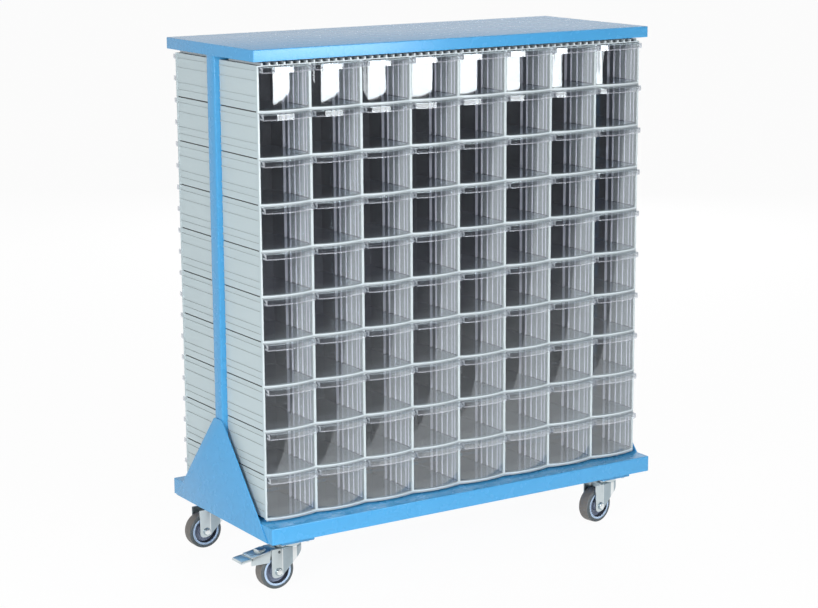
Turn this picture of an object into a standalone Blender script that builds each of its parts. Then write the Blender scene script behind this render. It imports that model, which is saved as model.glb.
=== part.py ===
"""Mobile double-sided drawer cabinet: a powder-coated steel trolley that carries stacked plastic
housings with clear drawers on both long sides.

Metres, +Z up. X runs along the cabinet, the front drawers face -Y and the rear ones +Y. The origin
is on the floor, under the middle of the base.
"""

from math import asin, cos, pi, radians, sin

import bmesh
import bpy
from mathutils import Matrix, Vector

# Gap that two touching pieces keep
FIT = 0.0003

# Castors
WHEEL_DIAMETER = 0.100
TREAD_WIDTH = 0.033
TREAD_SHOULDER = 0.004
TYRE_THICKNESS = 0.0095
RIM_WIDTH = 0.030
RIM_LAND = 0.0055
RIM_WEB = 0.008
HUB_RADIUS = 0.015
HUB_SIDE_PLAY = 0.0015
AXLE_RADIUS = 0.006
AXLE_HEAD_RADIUS = 0.010
AXLE_HEAD_LENGTH = 0.006
CASTOR_TRAIL = 0.048
CASTOR_FROM_END = 0.096
CASTOR_FROM_EDGE = 0.080
HEAD_PLATE_LENGTH = 0.100
HEAD_PLATE_WIDTH = 0.085
HEAD_PLATE_THICKNESS = 0.004
HEAD_PLATE_CORNER = 0.008
RACEWAY_RADIUS = 0.026
RACEWAY_HEIGHT = 0.010
KINGPIN_RADIUS = 0.006
KINGPIN_HEAD_RADIUS = 0.010
KINGPIN_HEAD_HEIGHT = 0.003
FORK_SHEET = 0.003
FORK_GAP = 0.040
FORK_NOSE_MARGIN = 0.003
FORK_NOSE_HEIGHT = 0.016
FORK_BEHIND_AXLE = 0.021
FORK_BELOW_AXLE = 0.016
FORK_AHEAD_OF_AXLE = 0.014
FORK_LEG_FRONT = 0.003
CROWN_ABOVE_WHEEL = 0.0107
CROWN_BEHIND_PIN = 0.040
BRAKE_PIN_RADIUS = 0.0025
BRAKE_PIN_TRAIL = 0.046
BRAKE_PIN_ABOVE_WHEEL = 0.0045
PEDAL_REACH = 0.162
PEDAL_SHEET = 0.003
PEDAL_SIDE_SHEET = 0.0024
PEDAL_BOSS = 0.0055
PEDAL_DROP = 0.013
PEDAL_HANGER = 0.010
PEDAL_TIP = 0.029
PEDAL_TIP_FALL = 0.003
PEDAL_SKIRT_ROOT = 0.030
PEDAL_SKIRT_END = 0.020
PEDAL_SKIRT_RAKE = 0.010
PEDAL_CLEARANCE = 0.006
PEDAL_OVERLAP = 0.004
PEDAL_PROUD = 0.0003
SIDE_PLAY = 0.0005
BORE_PLAY = 0.0004
FRONT_RIGHT_HEADING = radians(10)
REAR_RIGHT_HEADING = pi
WHEEL_FACETS = 16
RACEWAY_FACETS = 16
PIN_FACETS = 10
HEXAGON = 6
FORK_NOSE_STEPS = 6

# Steel frame
BASE_END_LEDGE = 0.014
BASE_FRONT_LEDGE = 0.059
BASE_FLANGE = 0.044
BASE_SHEET = 0.002
BASE_CORNER = 0.004
BEAM_WIDTH = 0.100
BEAM_END_INSET = 0.045
BEAM_DROP = 0.018
BEAM_SHEET = 0.003
BEAM_FROM_END = 0.046
TOP_END_OVERHANG = 0.004
TOP_FRONT_OVERHANG = 0.016
TOP_FLANGE = 0.0305
TOP_SHEET = 0.002
TOP_CORNER = 0.004
TOP_CLEARANCE = 0.011
POST_WIDTH = 0.044
POST_DEPTH = 0.050
POST_SHEET = 0.0025
GUSSET_HEIGHT = 0.281
GUSSET_FOOT_INSET = 0.022
GUSSET_SHEET = 0.003
GUSSET_ROUND = 0.008

# Housings
COLUMNS = 8
HOUSING_ROWS = 10
ROW_PITCH = 0.120
HOUSING_LENGTH = 1.232
HOUSING_DEPTH = 0.206
END_WALL = 0.005
INNER_WALL = 0.007
SHELF = 0.005
HALF_SHELF = 0.004
ROOF = 0.003
FOOT_HEIGHT = 0.008
FOOT_WIDTH = 0.020
FOOT_INSET = 0.030
FOOT_END_INSET = 0.015
BACK_GAP = 0.001
SEAM_HEIGHT = 0.0025
SEAM_DEPTH = 0.003
SEAM_FRONT_MARGIN = 0.007
SHELF_LEAD = 0.001
SHELF_ROOT = 0.004
SHELF_STEP = 0.0003

# Drawers
DRAWER_WALL = 0.002
DRAWER_SIDE_PLAY = 0.0006
DRAWER_TOP_PLAY = 0.0017
DRAWER_BACK_PLAY = 0.004
FRONT_BOW = 0.012
FRONT_LIP_REACH = 0.021
FRONT_LIP_HEIGHT = 0.015
REAR_BOW = 0.009
REAR_LIP_REACH = 0.021
REAR_LIP_HEIGHT = 0.014
LIP_WALL = 0.0025
LIP_END_INSET = 0.0015
LIP_ROOT = 0.001
LIP_STEP = 0.0005
FRONT_ARC_STEPS = 3
REAR_ARC_STEPS = 2

# Heights and places that follow from the sizes above
WHEEL_RADIUS = WHEEL_DIAMETER / 2
RIM_RADIUS = WHEEL_RADIUS - TYRE_THICKNESS
CROWN_TOP = WHEEL_DIAMETER + CROWN_ABOVE_WHEEL + FORK_SHEET
CASTOR_HEIGHT = CROWN_TOP + FIT + RACEWAY_HEIGHT + HEAD_PLATE_THICKNESS
BEAM_BOTTOM = CASTOR_HEIGHT + FIT
BASE_BOTTOM = BEAM_BOTTOM + BEAM_DROP
BASE_TOP = BASE_BOTTOM + BASE_FLANGE
STACK_BOTTOM = BASE_TOP + FIT + FOOT_HEIGHT
STACK_TOP = STACK_BOTTOM + (HOUSING_ROWS - 1) * ROW_PITCH
TOP_HOUSING_BOTTOM = STACK_TOP + FIT
TOP_HOUSING_TOP = TOP_HOUSING_BOTTOM + ROW_PITCH
TOP_BOTTOM = TOP_HOUSING_TOP + TOP_CLEARANCE
TOP_TOP = TOP_BOTTOM + TOP_FLANGE
CELL_WIDTH = (HOUSING_LENGTH - 2 * END_WALL - (COLUMNS - 1) * INNER_WALL) / COLUMNS
COLUMN_PITCH = CELL_WIDTH + INNER_WALL
HOUSING_BACK = POST_WIDTH / 2 + BACK_GAP
HOUSING_FRONT = HOUSING_BACK + HOUSING_DEPTH
BASE_LENGTH = HOUSING_LENGTH + 2 * BASE_END_LEDGE
BASE_DEPTH = 2 * (HOUSING_FRONT + BASE_FRONT_LEDGE)
TOP_LENGTH = BASE_LENGTH + 2 * TOP_END_OVERHANG
TOP_DEPTH = 2 * (HOUSING_FRONT + TOP_FRONT_OVERHANG)
BEAM_LENGTH = BASE_DEPTH - 2 * BEAM_END_INSET
CASTOR_X = BASE_LENGTH / 2 - CASTOR_FROM_END
CASTOR_Y = BASE_DEPTH / 2 - CASTOR_FROM_EDGE
FORK_HALF_WIDTH = FORK_GAP / 2 + FORK_SHEET
FORK_NOSE = RACEWAY_RADIUS + FORK_NOSE_MARGIN
HUB_LENGTH = FORK_GAP - 2 * HUB_SIDE_PLAY

FRONT, REAR = -1, 1
BLUE = ("blue_powder_coat", (0.16, 0.42, 0.72, 1.0), 0.45, 0.0)
GREY = ("light_grey_moulding", (0.60, 0.66, 0.68, 1.0), 0.55, 0.0)
CLEAR = ("clear_polystyrene", (0.80, 0.86, 0.90, 1.0), 0.08, 0.0)
ZINC = ("zinc_plated_steel", (0.66, 0.70, 0.73, 1.0), 0.30, 1.0)
RUBBER = ("grey_rubber", (0.09, 0.11, 0.13, 1.0), 0.70, 0.0)
RIM_PLASTIC = ("grey_wheel_plastic", (0.27, 0.31, 0.38, 1.0), 0.50, 0.0)

ALONG_X = Matrix(((0, 0, 1, 0), (1, 0, 0, 0), (0, 1, 0, 0), (0, 0, 0, 1)))
ALONG_Y = Matrix(((1, 0, 0, 0), (0, 0, -1, 0), (0, 1, 0, 0), (0, 0, 0, 1)))
ALONG_Z = Matrix.Identity(4)


def empty_scene():
    for obj in list(bpy.data.objects):
        bpy.data.objects.remove(obj, do_unlink=True)


def new_collection(name):
    collection = bpy.data.collections.new(name)
    bpy.context.scene.collection.children.link(collection)
    return collection


def finish_material(finish):
    name, colour, roughness, metallic = finish
    found = bpy.data.materials.get(name)
    if found:
        return found
    made = bpy.data.materials.new(name)
    made.use_nodes = True
    shader = made.node_tree.nodes["Principled BSDF"]
    shader.inputs["Base Color"].default_value = colour
    shader.inputs["Roughness"].default_value = roughness
    shader.inputs["Metallic"].default_value = metallic
    made.diffuse_color = colour
    return made


empty_scene()
PARTS = new_collection("double_sided_drawer_cabinet")
TOOLS = new_collection("cutters_and_added_shapes")


def part(name, mesh, finish, parent=None, location=(0, 0, 0), rotation=(0, 0, 0)):
    """A named piece of the cabinet."""
    obj = bpy.data.objects.new(name, mesh)
    mesh.materials.clear()
    mesh.materials.append(finish_material(finish))
    PARTS.objects.link(obj)
    obj.parent = parent
    obj.location = location
    obj.rotation_euler = rotation
    return obj


def frame_empty(name, location, parent=None, turn=0.0):
    """An empty on a joint's axis that carries the pieces which move about it."""
    obj = bpy.data.objects.new(name, None)
    PARTS.objects.link(obj)
    obj.parent = parent
    obj.location = location
    obj.rotation_euler = (0, 0, turn)
    return obj


def tool(name, mesh, parent=None):
    """A shape that only cuts another piece or is joined to it."""
    obj = bpy.data.objects.new(name, mesh)
    TOOLS.objects.link(obj)
    obj.parent = parent
    obj.hide_render = True
    obj.display_type = "WIRE"
    return obj


def boolean(obj, operation, shape):
    modifier = obj.modifiers.new(f"{operation.lower()}_{shape.name}", "BOOLEAN")
    modifier.operation = operation
    modifier.solver = "EXACT"
    modifier.object = shape


def repeat(obj, count, offset):
    modifier = obj.modifiers.new("repeat", "ARRAY")
    modifier.count = count
    modifier.use_relative_offset = False
    modifier.use_constant_offset = True
    modifier.constant_offset_displace = offset


def capped(mesh):
    """Closes an extruded outline with one face at each end and turns its faces outwards."""
    bm = bmesh.new()
    bm.from_mesh(mesh)
    bmesh.ops.remove_doubles(bm, verts=bm.verts, dist=1e-6)
    bmesh.ops.holes_fill(bm, edges=bm.edges)
    bmesh.ops.recalc_face_normals(bm, faces=bm.faces)
    bm.to_mesh(mesh)
    bm.free()
    return mesh


def span_middle(low, high, along):
    """Middle of a span on the extrusion's own axis, which ALONG_Y turns to point towards -Y."""
    middle = (low + high) / 2
    return -middle if along == ALONG_Y else middle


def prism(name, outline, low, high, along=ALONG_Z):
    """A flat outline, given by its points, extruded from low to high along one axis."""
    curve = bpy.data.curves.new(name, "CURVE")
    curve.dimensions = "2D"
    curve.fill_mode = "NONE"
    curve.extrude = (high - low) / 2
    spline = curve.splines.new("POLY")
    spline.points.add(len(outline) - 1)
    for point, (u, v) in zip(spline.points, outline):
        point.co = (u, v, 0, 1)
    spline.use_cyclic_u = True
    holder = bpy.data.objects.new(name, curve)
    TOOLS.objects.link(holder)
    evaluated = holder.evaluated_get(bpy.context.evaluated_depsgraph_get())
    mesh = bpy.data.meshes.new_from_object(evaluated)
    bpy.data.objects.remove(holder, do_unlink=True)
    bpy.data.curves.remove(curve)
    mesh.transform(along @ Matrix.Translation((0, 0, span_middle(low, high, along))))
    mesh.name = name
    return capped(mesh)


def block(name, low, high):
    """A plain box between two corners."""
    low, high = Vector(low), Vector(high)
    place = Matrix.Translation((low + high) / 2) @ Matrix.Diagonal((*(high - low), 1.0))
    bm = bmesh.new()
    bmesh.ops.create_cube(bm, size=1.0, matrix=place)
    mesh = bpy.data.meshes.new(name)
    bm.to_mesh(mesh)
    bm.free()
    return mesh


def cylinder(name, radius, low, high, along=ALONG_Z, facets=PIN_FACETS, centre=(0, 0)):
    """A round bar from low to high along one axis, with its axis through centre."""
    bm = bmesh.new()
    size = {"radius1": radius, "radius2": radius, "depth": high - low}
    bmesh.ops.create_cone(bm, cap_ends=True, segments=facets, **size)
    mesh = bpy.data.meshes.new(name)
    bm.to_mesh(mesh)
    bm.free()
    mesh.transform(along @ Matrix.Translation((*centre, span_middle(low, high, along))))
    return mesh


def joined(name, *meshes):
    """Several separate shapes held in one mesh."""
    bm = bmesh.new()
    for mesh in meshes:
        bm.from_mesh(mesh)
    mesh = bpy.data.meshes.new(name)
    bm.to_mesh(mesh)
    bm.free()
    return mesh


def arc(start, end, rise, steps):
    """Points of the circular arc from start to end that stands rise proud of its chord, ends included."""
    (x0, y0), (x1, y1) = start, end
    half = (x1 - x0) / 2
    radius = (half * half + rise * rise) / (2 * abs(rise))
    spread = asin(min(1.0, abs(half) / radius))
    side = 1 if rise > 0 else -1
    middle = (x0 + x1) / 2
    centre = (y0 + y1) / 2 + rise - side * radius
    turns = [spread * (2 * step / steps - 1) for step in range(1, steps)]
    between = [(middle + radius * sin(turn), centre + side * radius * cos(turn)) for turn in turns]
    return [start, *between, end]


def turned(name, profile, finish, axle_frame):
    """A ring turned about the axle from a closed profile of (radius, length) points.

    The profile is mirrored at the wheel's middle. Its flats touch the true circle, one of them below.
    """
    reach = 1 / cos(pi / WHEEL_FACETS)
    outline = profile + [(radius, -length) for radius, length in reversed(profile)]
    mesh = bpy.data.meshes.new(name)
    mesh.from_pydata(
        [(radius * reach, 0, length) for radius, length in outline],
        [(index, (index + 1) % len(outline)) for index in range(len(outline))],
        [],
    )
    obj = part(name, mesh, finish, axle_frame, rotation=(pi / 2, pi / WHEEL_FACETS, 0))
    modifier = obj.modifiers.new("turn", "SCREW")
    modifier.axis = "Z"
    modifier.steps = WHEEL_FACETS
    modifier.render_steps = WHEEL_FACETS
    modifier.use_merge_vertices = True
    modifier.merge_threshold = 1e-5
    modifier.use_smooth_shade = True


def folded_panel(name, length, depth, top, flange, sheet, corner):
    """A sheet-steel panel whose four edges fold down, open below."""
    bm = bmesh.new()
    middle = Matrix.Translation((0, 0, top - flange / 2))
    bmesh.ops.create_cube(bm, size=1.0, matrix=middle @ Matrix.Diagonal((length, depth, flange, 1.0)))
    upright = [e for e in bm.edges if abs(e.verts[0].co.z - e.verts[1].co.z) > flange / 2]
    bmesh.ops.bevel(bm, geom=upright, offset=corner, segments=2, profile=0.5, affect="EDGES")
    underside = [f for f in bm.faces if f.normal.z < -0.5]
    bmesh.ops.delete(bm, geom=underside, context="FACES_ONLY")
    mesh = bpy.data.meshes.new(name)
    bm.to_mesh(mesh)
    bm.free()
    obj = part(name, mesh, BLUE)
    shell = obj.modifiers.new("sheet", "SOLIDIFY")
    shell.thickness = sheet
    shell.offset = -1.0
    shell.use_even_offset = True
    return obj


def channel(width, depth, sheet):
    """Outline of a U channel: its web lies along u at v = 0 and its flanges rise to v = depth."""
    half = width / 2
    inner = half - sheet
    return [
        (-half, 0),
        (half, 0),
        (half, depth),
        (inner, depth),
        (inner, sheet),
        (-inner, sheet),
        (-inner, depth),
        (-half, depth),
    ]


def frame_pieces():
    """Top panel, base tray, posts, gussets and castor beams."""
    folded_panel("top_panel", TOP_LENGTH, TOP_DEPTH, TOP_TOP, TOP_FLANGE, TOP_SHEET, TOP_CORNER)
    folded_panel("base_tray", BASE_LENGTH, BASE_DEPTH, BASE_TOP, BASE_FLANGE, BASE_SHEET, BASE_CORNER)
    end = BASE_LENGTH / 2
    for side, label in ((-1, "left"), (1, "right")):
        web_out = [(side * (end - v), u) for u, v in channel(POST_WIDTH, POST_DEPTH, POST_SHEET)]
        part(f"post_{label}", prism("post", web_out, BASE_TOP + FIT, TOP_TOP - TOP_SHEET - FIT), BLUE)
        plate_span = sorted((side * (end + FIT), side * (end + FIT + GUSSET_SHEET)))
        part(f"gusset_{label}", prism("gusset", gusset_outline(), *plate_span, ALONG_X), BLUE)
        beam_depth = BASE_TOP - BASE_SHEET - FIT - BEAM_BOTTOM
        beam_x = side * (end - BEAM_FROM_END - BEAM_WIDTH / 2)
        web_down = [(beam_x + u, BEAM_BOTTOM + v) for u, v in channel(BEAM_WIDTH, beam_depth, BEAM_SHEET)]
        beam = prism("castor_beam", web_down, -BEAM_LENGTH / 2, BEAM_LENGTH / 2, ALONG_Y)
        part(f"castor_beam_{label}", beam, BLUE)


def gusset_outline():
    """The end plate's trapezium, with a rounded narrow top, in the YZ plane."""
    foot, apex = BASE_DEPTH / 2 - GUSSET_FOOT_INSET, POST_WIDTH / 2
    low, high = BASE_BOTTOM, BASE_BOTTOM + GUSSET_HEIGHT
    lean = (foot - apex) / GUSSET_HEIGHT
    rounded = [
        (apex + lean * GUSSET_ROUND, high - GUSSET_ROUND),
        (apex + lean * GUSSET_ROUND / 4, high - GUSSET_ROUND / 3),
        (apex - GUSSET_ROUND / 2, high),
    ]
    return [(-foot, low), (foot, low), *rounded, *[(-y, z) for y, z in reversed(rounded)]]


class Side:
    """The sizes that differ between the front drawers and the half-height rear ones."""

    def __init__(self, facing, levels, bow, lip_reach, lip_height, arc_steps):
        self.facing = facing
        self.levels = levels
        self.bow = bow
        self.lip_reach = lip_reach
        self.lip_height = lip_height
        self.arc_steps = arc_steps
        self.level_pitch = ROW_PITCH / levels
        self.label = "front" if facing == FRONT else "rear"

    def shelf(self, level):
        """Thickness of the shelf under a level: the housing's floor, or the thinner shelf between levels."""
        return SHELF if level % self.levels == 0 else HALF_SHELF

    def drawer_height(self):
        return self.level_pitch - SHELF - FIT - ROOF - DRAWER_TOP_PLAY

    def outline(self, points):
        """Points whose second value is a distance out from the cabinet's middle, as plan points."""
        return [(x, self.facing * out) for x, out in points]

    def y_span(self, near, far):
        return sorted((self.facing * near, self.facing * far))


def cell_left(column):
    return -HOUSING_LENGTH / 2 + END_WALL + column * COLUMN_PITCH


def stack_plan(side):
    """Plan of a housing stack: upright wall edges with a bowed drawer front between each two."""
    half = HOUSING_LENGTH / 2
    points = [(-half, HOUSING_BACK), (-half, HOUSING_FRONT)]
    for column in range(COLUMNS):
        left, right = cell_left(column), cell_left(column) + CELL_WIDTH
        points.extend(arc((left, HOUSING_FRONT), (right, HOUSING_FRONT), side.bow, side.arc_steps))
    points += [(half, HOUSING_FRONT), (half, HOUSING_BACK)]
    return side.outline(points)


def shelf_plan(side):
    """Plan of a shelf's scalloped front edge, which leads the walls and drawer fronts by a little."""
    front = HOUSING_FRONT + SHELF_LEAD
    end = HOUSING_LENGTH / 2 - SHELF_LEAD
    root = HOUSING_FRONT - SHELF_ROOT
    points = [(-end, root), (-end, front)]
    for column in range(COLUMNS):
        left, right = cell_left(column), cell_left(column) + CELL_WIDTH
        points.extend(arc((left, front), (right, front), side.bow + SHELF_LEAD, side.arc_steps))
    points += [(end, front), (end, root)]
    return side.outline(points)


def lip_edge(side, column, inset):
    """Outer edge of a drawer's hooded lip in plan, drawn in from its outer faces by inset."""
    left = cell_left(column) + LIP_END_INSET + inset
    right = cell_left(column) + CELL_WIDTH - LIP_END_INSET - inset
    reach = HOUSING_FRONT + side.lip_reach - inset
    return arc((left, reach), (right, reach), side.bow, side.arc_steps)


def lip_plan(side, column, inset, root):
    """Plan of one hooded lip from its outer edge back to its root in the drawer's front."""
    edge = lip_edge(side, column, inset)
    return side.outline([(edge[0][0], root), *edge, (edge[-1][0], root)])


def level_bottom(base, side, level):
    return base + level * side.level_pitch


def seam_cutter(side, bottom, rows):
    """Grooves round the ends where one housing stands on the next, short of the white front edge."""
    back, front = HOUSING_BACK - SEAM_DEPTH, HOUSING_FRONT - SEAM_FRONT_MARGIN
    y_low, y_high = side.y_span(back, front)
    half = HOUSING_LENGTH / 2
    ends = []
    for end in (-1, 1):
        x_low, x_high = sorted((end * (half - SEAM_DEPTH), end * (half + SEAM_DEPTH)))
        low = (x_low, y_low, bottom - SEAM_HEIGHT / 2)
        ends.append(block("seam", low, (x_high, y_high, bottom + SEAM_HEIGHT / 2)))
    cutter = tool(f"{side.label}_seams_{rows}", joined("seams", *ends))
    repeat(cutter, rows, (0, 0, ROW_PITCH))
    return cutter


def housing_stack(side):
    """The lower housings, stacked, each with its rows of closed drawers."""
    rows = HOUSING_ROWS - 1
    body = prism("stack", stack_plan(side), STACK_BOTTOM, STACK_TOP)
    stack = part(f"{side.label}_housing_stack", body, GREY)
    top = STACK_BOTTOM + SHELF + FIT + side.drawer_height()
    plans = [lip_plan(side, column, 0, HOUSING_FRONT - LIP_ROOT) for column in range(COLUMNS)]
    lips = [prism("lip", plan, top - side.lip_height, top) for plan in plans]
    lip_rows = tool(f"{side.label}_lips", joined("lips", *lips))
    repeat(lip_rows, rows * side.levels, (0, 0, side.level_pitch))
    boolean(stack, "UNION", lip_rows)
    boolean(stack, "UNION", foot_rails(side))
    boolean(stack, "DIFFERENCE", seam_cutter(side, STACK_BOTTOM + ROW_PITCH, rows))


def foot_rails(side):
    """Two long feet under the lowest housing, set back from its edges."""
    half = HOUSING_LENGTH / 2 - FOOT_END_INSET
    rails = []
    for near in (HOUSING_BACK + FOOT_INSET, HOUSING_FRONT - FOOT_INSET - FOOT_WIDTH):
        y_low, y_high = side.y_span(near, near + FOOT_WIDTH)
        rails.append(block("foot", (-half, y_low, BASE_TOP + FIT), (half, y_high, STACK_BOTTOM + SHELF / 2)))
    return tool(f"{side.label}_feet", joined("feet", *rails))


def top_housing(side):
    """The uppermost housing, whose drawers pull out: open cells with a bowed shelf edge, under a roof plate."""
    bottom, top = TOP_HOUSING_BOTTOM, TOP_HOUSING_TOP
    half = HOUSING_LENGTH / 2
    y_low, y_high = side.y_span(HOUSING_BACK, HOUSING_FRONT)
    body = block("housing", (-half, y_low, bottom), (half, y_high, top - ROOF - FIT))
    roof = block("roof", (-half, y_low, top - ROOF), (half, y_high, top))
    part(f"{side.label}_housing_roof", roof, GREY)
    housing = part(f"{side.label}_housing_top", body, GREY)
    for level in range(side.levels):
        low = level_bottom(bottom, side, level)
        floor = low + side.shelf(level)
        ceiling = top if level == side.levels - 1 else low + side.level_pitch
        edge = prism("shelf", shelf_plan(side), low + SHELF_LEAD, floor - SHELF_STEP)
        boolean(housing, "UNION", tool(f"{side.label}_top_shelf_{level}", edge))
        y_near, y_far = side.y_span(HOUSING_BACK - BACK_GAP / 2, HOUSING_FRONT + side.bow)
        cell = block("cell", (cell_left(0), y_near, floor), (cell_left(0) + CELL_WIDTH, y_far, ceiling))
        cells = tool(f"{side.label}_cells_{level}", cell)
        repeat(cells, COLUMNS, (COLUMN_PITCH, 0, 0))
        boolean(housing, "DIFFERENCE", cells)
    boolean(housing, "DIFFERENCE", seam_cutter(side, bottom, 1))


def drawer(side, column, level, name):
    """A clear drawer with a bowed front and a hooded lip along its top edge."""
    left = cell_left(column) + DRAWER_SIDE_PLAY
    right = cell_left(column) + CELL_WIDTH - DRAWER_SIDE_PLAY
    back = HOUSING_BACK + DRAWER_BACK_PLAY
    face = HOUSING_FRONT
    low = level_bottom(TOP_HOUSING_BOTTOM, side, level) + side.shelf(level) + FIT
    top = low + side.drawer_height()
    place = Vector(((left + right) / 2, side.facing * face, low))
    wall = DRAWER_WALL
    outer_front = arc((left, face), (right, face), side.bow, side.arc_steps)
    outer = side.outline([(left, back), *outer_front, (right, back)])
    inner_front = arc((left + wall, face - wall), (right - wall, face - wall), side.bow, side.arc_steps)
    inner = side.outline([(left + wall, back + wall), *inner_front, (right - wall, back + wall)])
    hood = lip_plan(side, column, 0, face - LIP_ROOT)
    hollow = lip_plan(side, column, LIP_WALL, face + LIP_ROOT)
    shapes = {
        "body": prism("drawer", outer, low, top),
        "hood": prism("hood", hood, top - side.lip_height, top + LIP_STEP),
        "finger_gap": prism("finger_gap", hollow, top - 2 * side.lip_height, top - LIP_WALL),
        "inside": prism("inside", inner, low + wall, top + wall),
    }
    for mesh in shapes.values():
        mesh.transform(Matrix.Translation(-place))
    obj = part(name, shapes["hood"], CLEAR, location=place)
    for label, operation in (("finger_gap", "DIFFERENCE"), ("body", "UNION"), ("inside", "DIFFERENCE")):
        boolean(obj, operation, tool(f"{name}_{label}", shapes[label], parent=obj))


def wheel(prefix, axle_frame):
    """Rim and tyre, turned about the axle."""
    half_rim, half_web, half_hub, half_tread = RIM_WIDTH / 2, RIM_WEB / 2, HUB_LENGTH / 2, TREAD_WIDTH / 2
    ring = RIM_RADIUS - RIM_LAND
    hub = [(AXLE_RADIUS + BORE_PLAY, half_hub), (HUB_RADIUS, half_hub)]
    dish = [(HUB_RADIUS, half_web), (ring, half_web), (ring, half_rim), (RIM_RADIUS, half_rim)]
    turned(f"{prefix}_rim", hub + dish, RIM_PLASTIC, axle_frame)
    shoulder = [(WHEEL_RADIUS - TREAD_SHOULDER, half_tread), (WHEEL_RADIUS, half_tread - TREAD_SHOULDER)]
    turned(f"{prefix}_tyre", [(RIM_RADIUS + FIT, half_rim), *shoulder], RUBBER, axle_frame)


def fork_plan(inset):
    """Plan of the fork: two straight cheeks that run into a round nose, drawn in by inset."""
    half = FORK_HALF_WIDTH - inset
    nose = FORK_NOSE - inset
    start = FORK_NOSE - FORK_HALF_WIDTH
    back = -(CASTOR_TRAIL + FORK_BEHIND_AXLE) - (FORK_SHEET if inset else 0)
    bend = [pi / 2 - pi * step / FORK_NOSE_STEPS for step in range(FORK_NOSE_STEPS + 1)]
    rounded = [(start + (nose - start) * cos(turn), half * sin(turn)) for turn in bend]
    return [(back, half), *rounded, (back, -half)]


def fork(prefix, swivel_frame, braked):
    """The pressed steel fork: crown, round nose and two cheeks that slope down to the axle."""
    foot = WHEEL_RADIUS - FORK_BELOW_AXLE
    obj = part(f"{prefix}_fork", prism("fork", fork_plan(0), foot, CROWN_TOP), ZINC, swivel_frame)
    inside = prism("inside", fork_plan(FORK_SHEET), foot - FORK_SHEET, CROWN_TOP - FORK_SHEET)
    wide = FORK_HALF_WIDTH + FORK_SHEET
    back = -(CASTOR_TRAIL + FORK_BEHIND_AXLE)
    open_crown = block(
        "open_crown",
        (back - FORK_SHEET, -FORK_GAP / 2, CROWN_TOP - 2 * FORK_SHEET),
        (-CROWN_BEHIND_PIN, FORK_GAP / 2, CROWN_TOP + FORK_SHEET),
    )
    nose_low = CROWN_TOP - FORK_NOSE_HEIGHT
    leg_front = FORK_AHEAD_OF_AXLE - CASTOR_TRAIL
    slope = [
        (leg_front, foot - FORK_SHEET),
        (FORK_NOSE + FORK_SHEET, foot - FORK_SHEET),
        (FORK_NOSE + FORK_SHEET, nose_low),
        (leg_front, foot + FORK_LEG_FRONT),
    ]
    below = prism("below", slope, -wide, wide, ALONG_Y)
    axle = (-CASTOR_TRAIL, WHEEL_RADIUS)
    axle_hole = cylinder("axle_hole", AXLE_RADIUS + BORE_PLAY, -wide, wide, ALONG_Y, centre=axle)
    pin_hole = cylinder("pin_hole", KINGPIN_RADIUS + BORE_PLAY, foot, CROWN_TOP + FORK_SHEET)
    cuts = (inside, open_crown, below, axle_hole, pin_hole)
    for mesh in cuts:
        boolean(obj, "DIFFERENCE", tool(f"{prefix}_{mesh.name}", mesh, parent=swivel_frame))
    if braked:
        reach = FORK_GAP / 2 + FORK_SHEET / 2
        pin = cylinder("brake_pin", BRAKE_PIN_RADIUS, -reach, reach, ALONG_Y, centre=brake_pin_centre())
        boolean(obj, "UNION", tool(f"{prefix}_brake_pin", pin, parent=swivel_frame))


def brake_pin_centre():
    return (-BRAKE_PIN_TRAIL, WHEEL_DIAMETER + BRAKE_PIN_ABOVE_WHEEL)


def axle_bolt(prefix, axle_frame):
    """The axle bolt with its hexagon head and nut."""
    face = FORK_HALF_WIDTH + FIT
    end = face + AXLE_HEAD_LENGTH
    obj = part(f"{prefix}_axle", cylinder("axle", AXLE_RADIUS, -end, end, ALONG_Y), ZINC, axle_frame)
    spans = ((-end, -face), (face, end))
    heads = [cylinder("head", AXLE_HEAD_RADIUS, *span, ALONG_Y, HEXAGON) for span in spans]
    boolean(obj, "UNION", tool(f"{prefix}_axle_heads", joined("heads", *heads), parent=axle_frame))


def head_plate(prefix, swivel_frame):
    """The bolted head plate with its raceway and the kingpin that holds the fork."""
    low = CASTOR_HEIGHT - HEAD_PLATE_THICKNESS
    half_x, half_y = HEAD_PLATE_LENGTH / 2, HEAD_PLATE_WIDTH / 2
    cut = HEAD_PLATE_CORNER
    right = [(half_x - cut, -half_y), (half_x, cut - half_y), (half_x, half_y - cut), (half_x - cut, half_y)]
    outline = right + [(-x, -y) for x, y in right]
    obj = part(f"{prefix}_plate", prism("plate", outline, low, CASTOR_HEIGHT), ZINC, swivel_frame)
    overlap = HEAD_PLATE_THICKNESS / 2
    raceway = cylinder("raceway", RACEWAY_RADIUS, low - RACEWAY_HEIGHT, low + overlap, facets=RACEWAY_FACETS)
    under_crown = CROWN_TOP - FORK_SHEET - FIT
    pin = cylinder("kingpin", KINGPIN_RADIUS, under_crown - overlap, low)
    head = cylinder("kingpin_head", KINGPIN_HEAD_RADIUS, under_crown - KINGPIN_HEAD_HEIGHT, under_crown)
    for mesh in (raceway, pin, head):
        boolean(obj, "UNION", tool(f"{prefix}_{mesh.name}", mesh, parent=swivel_frame))


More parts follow.
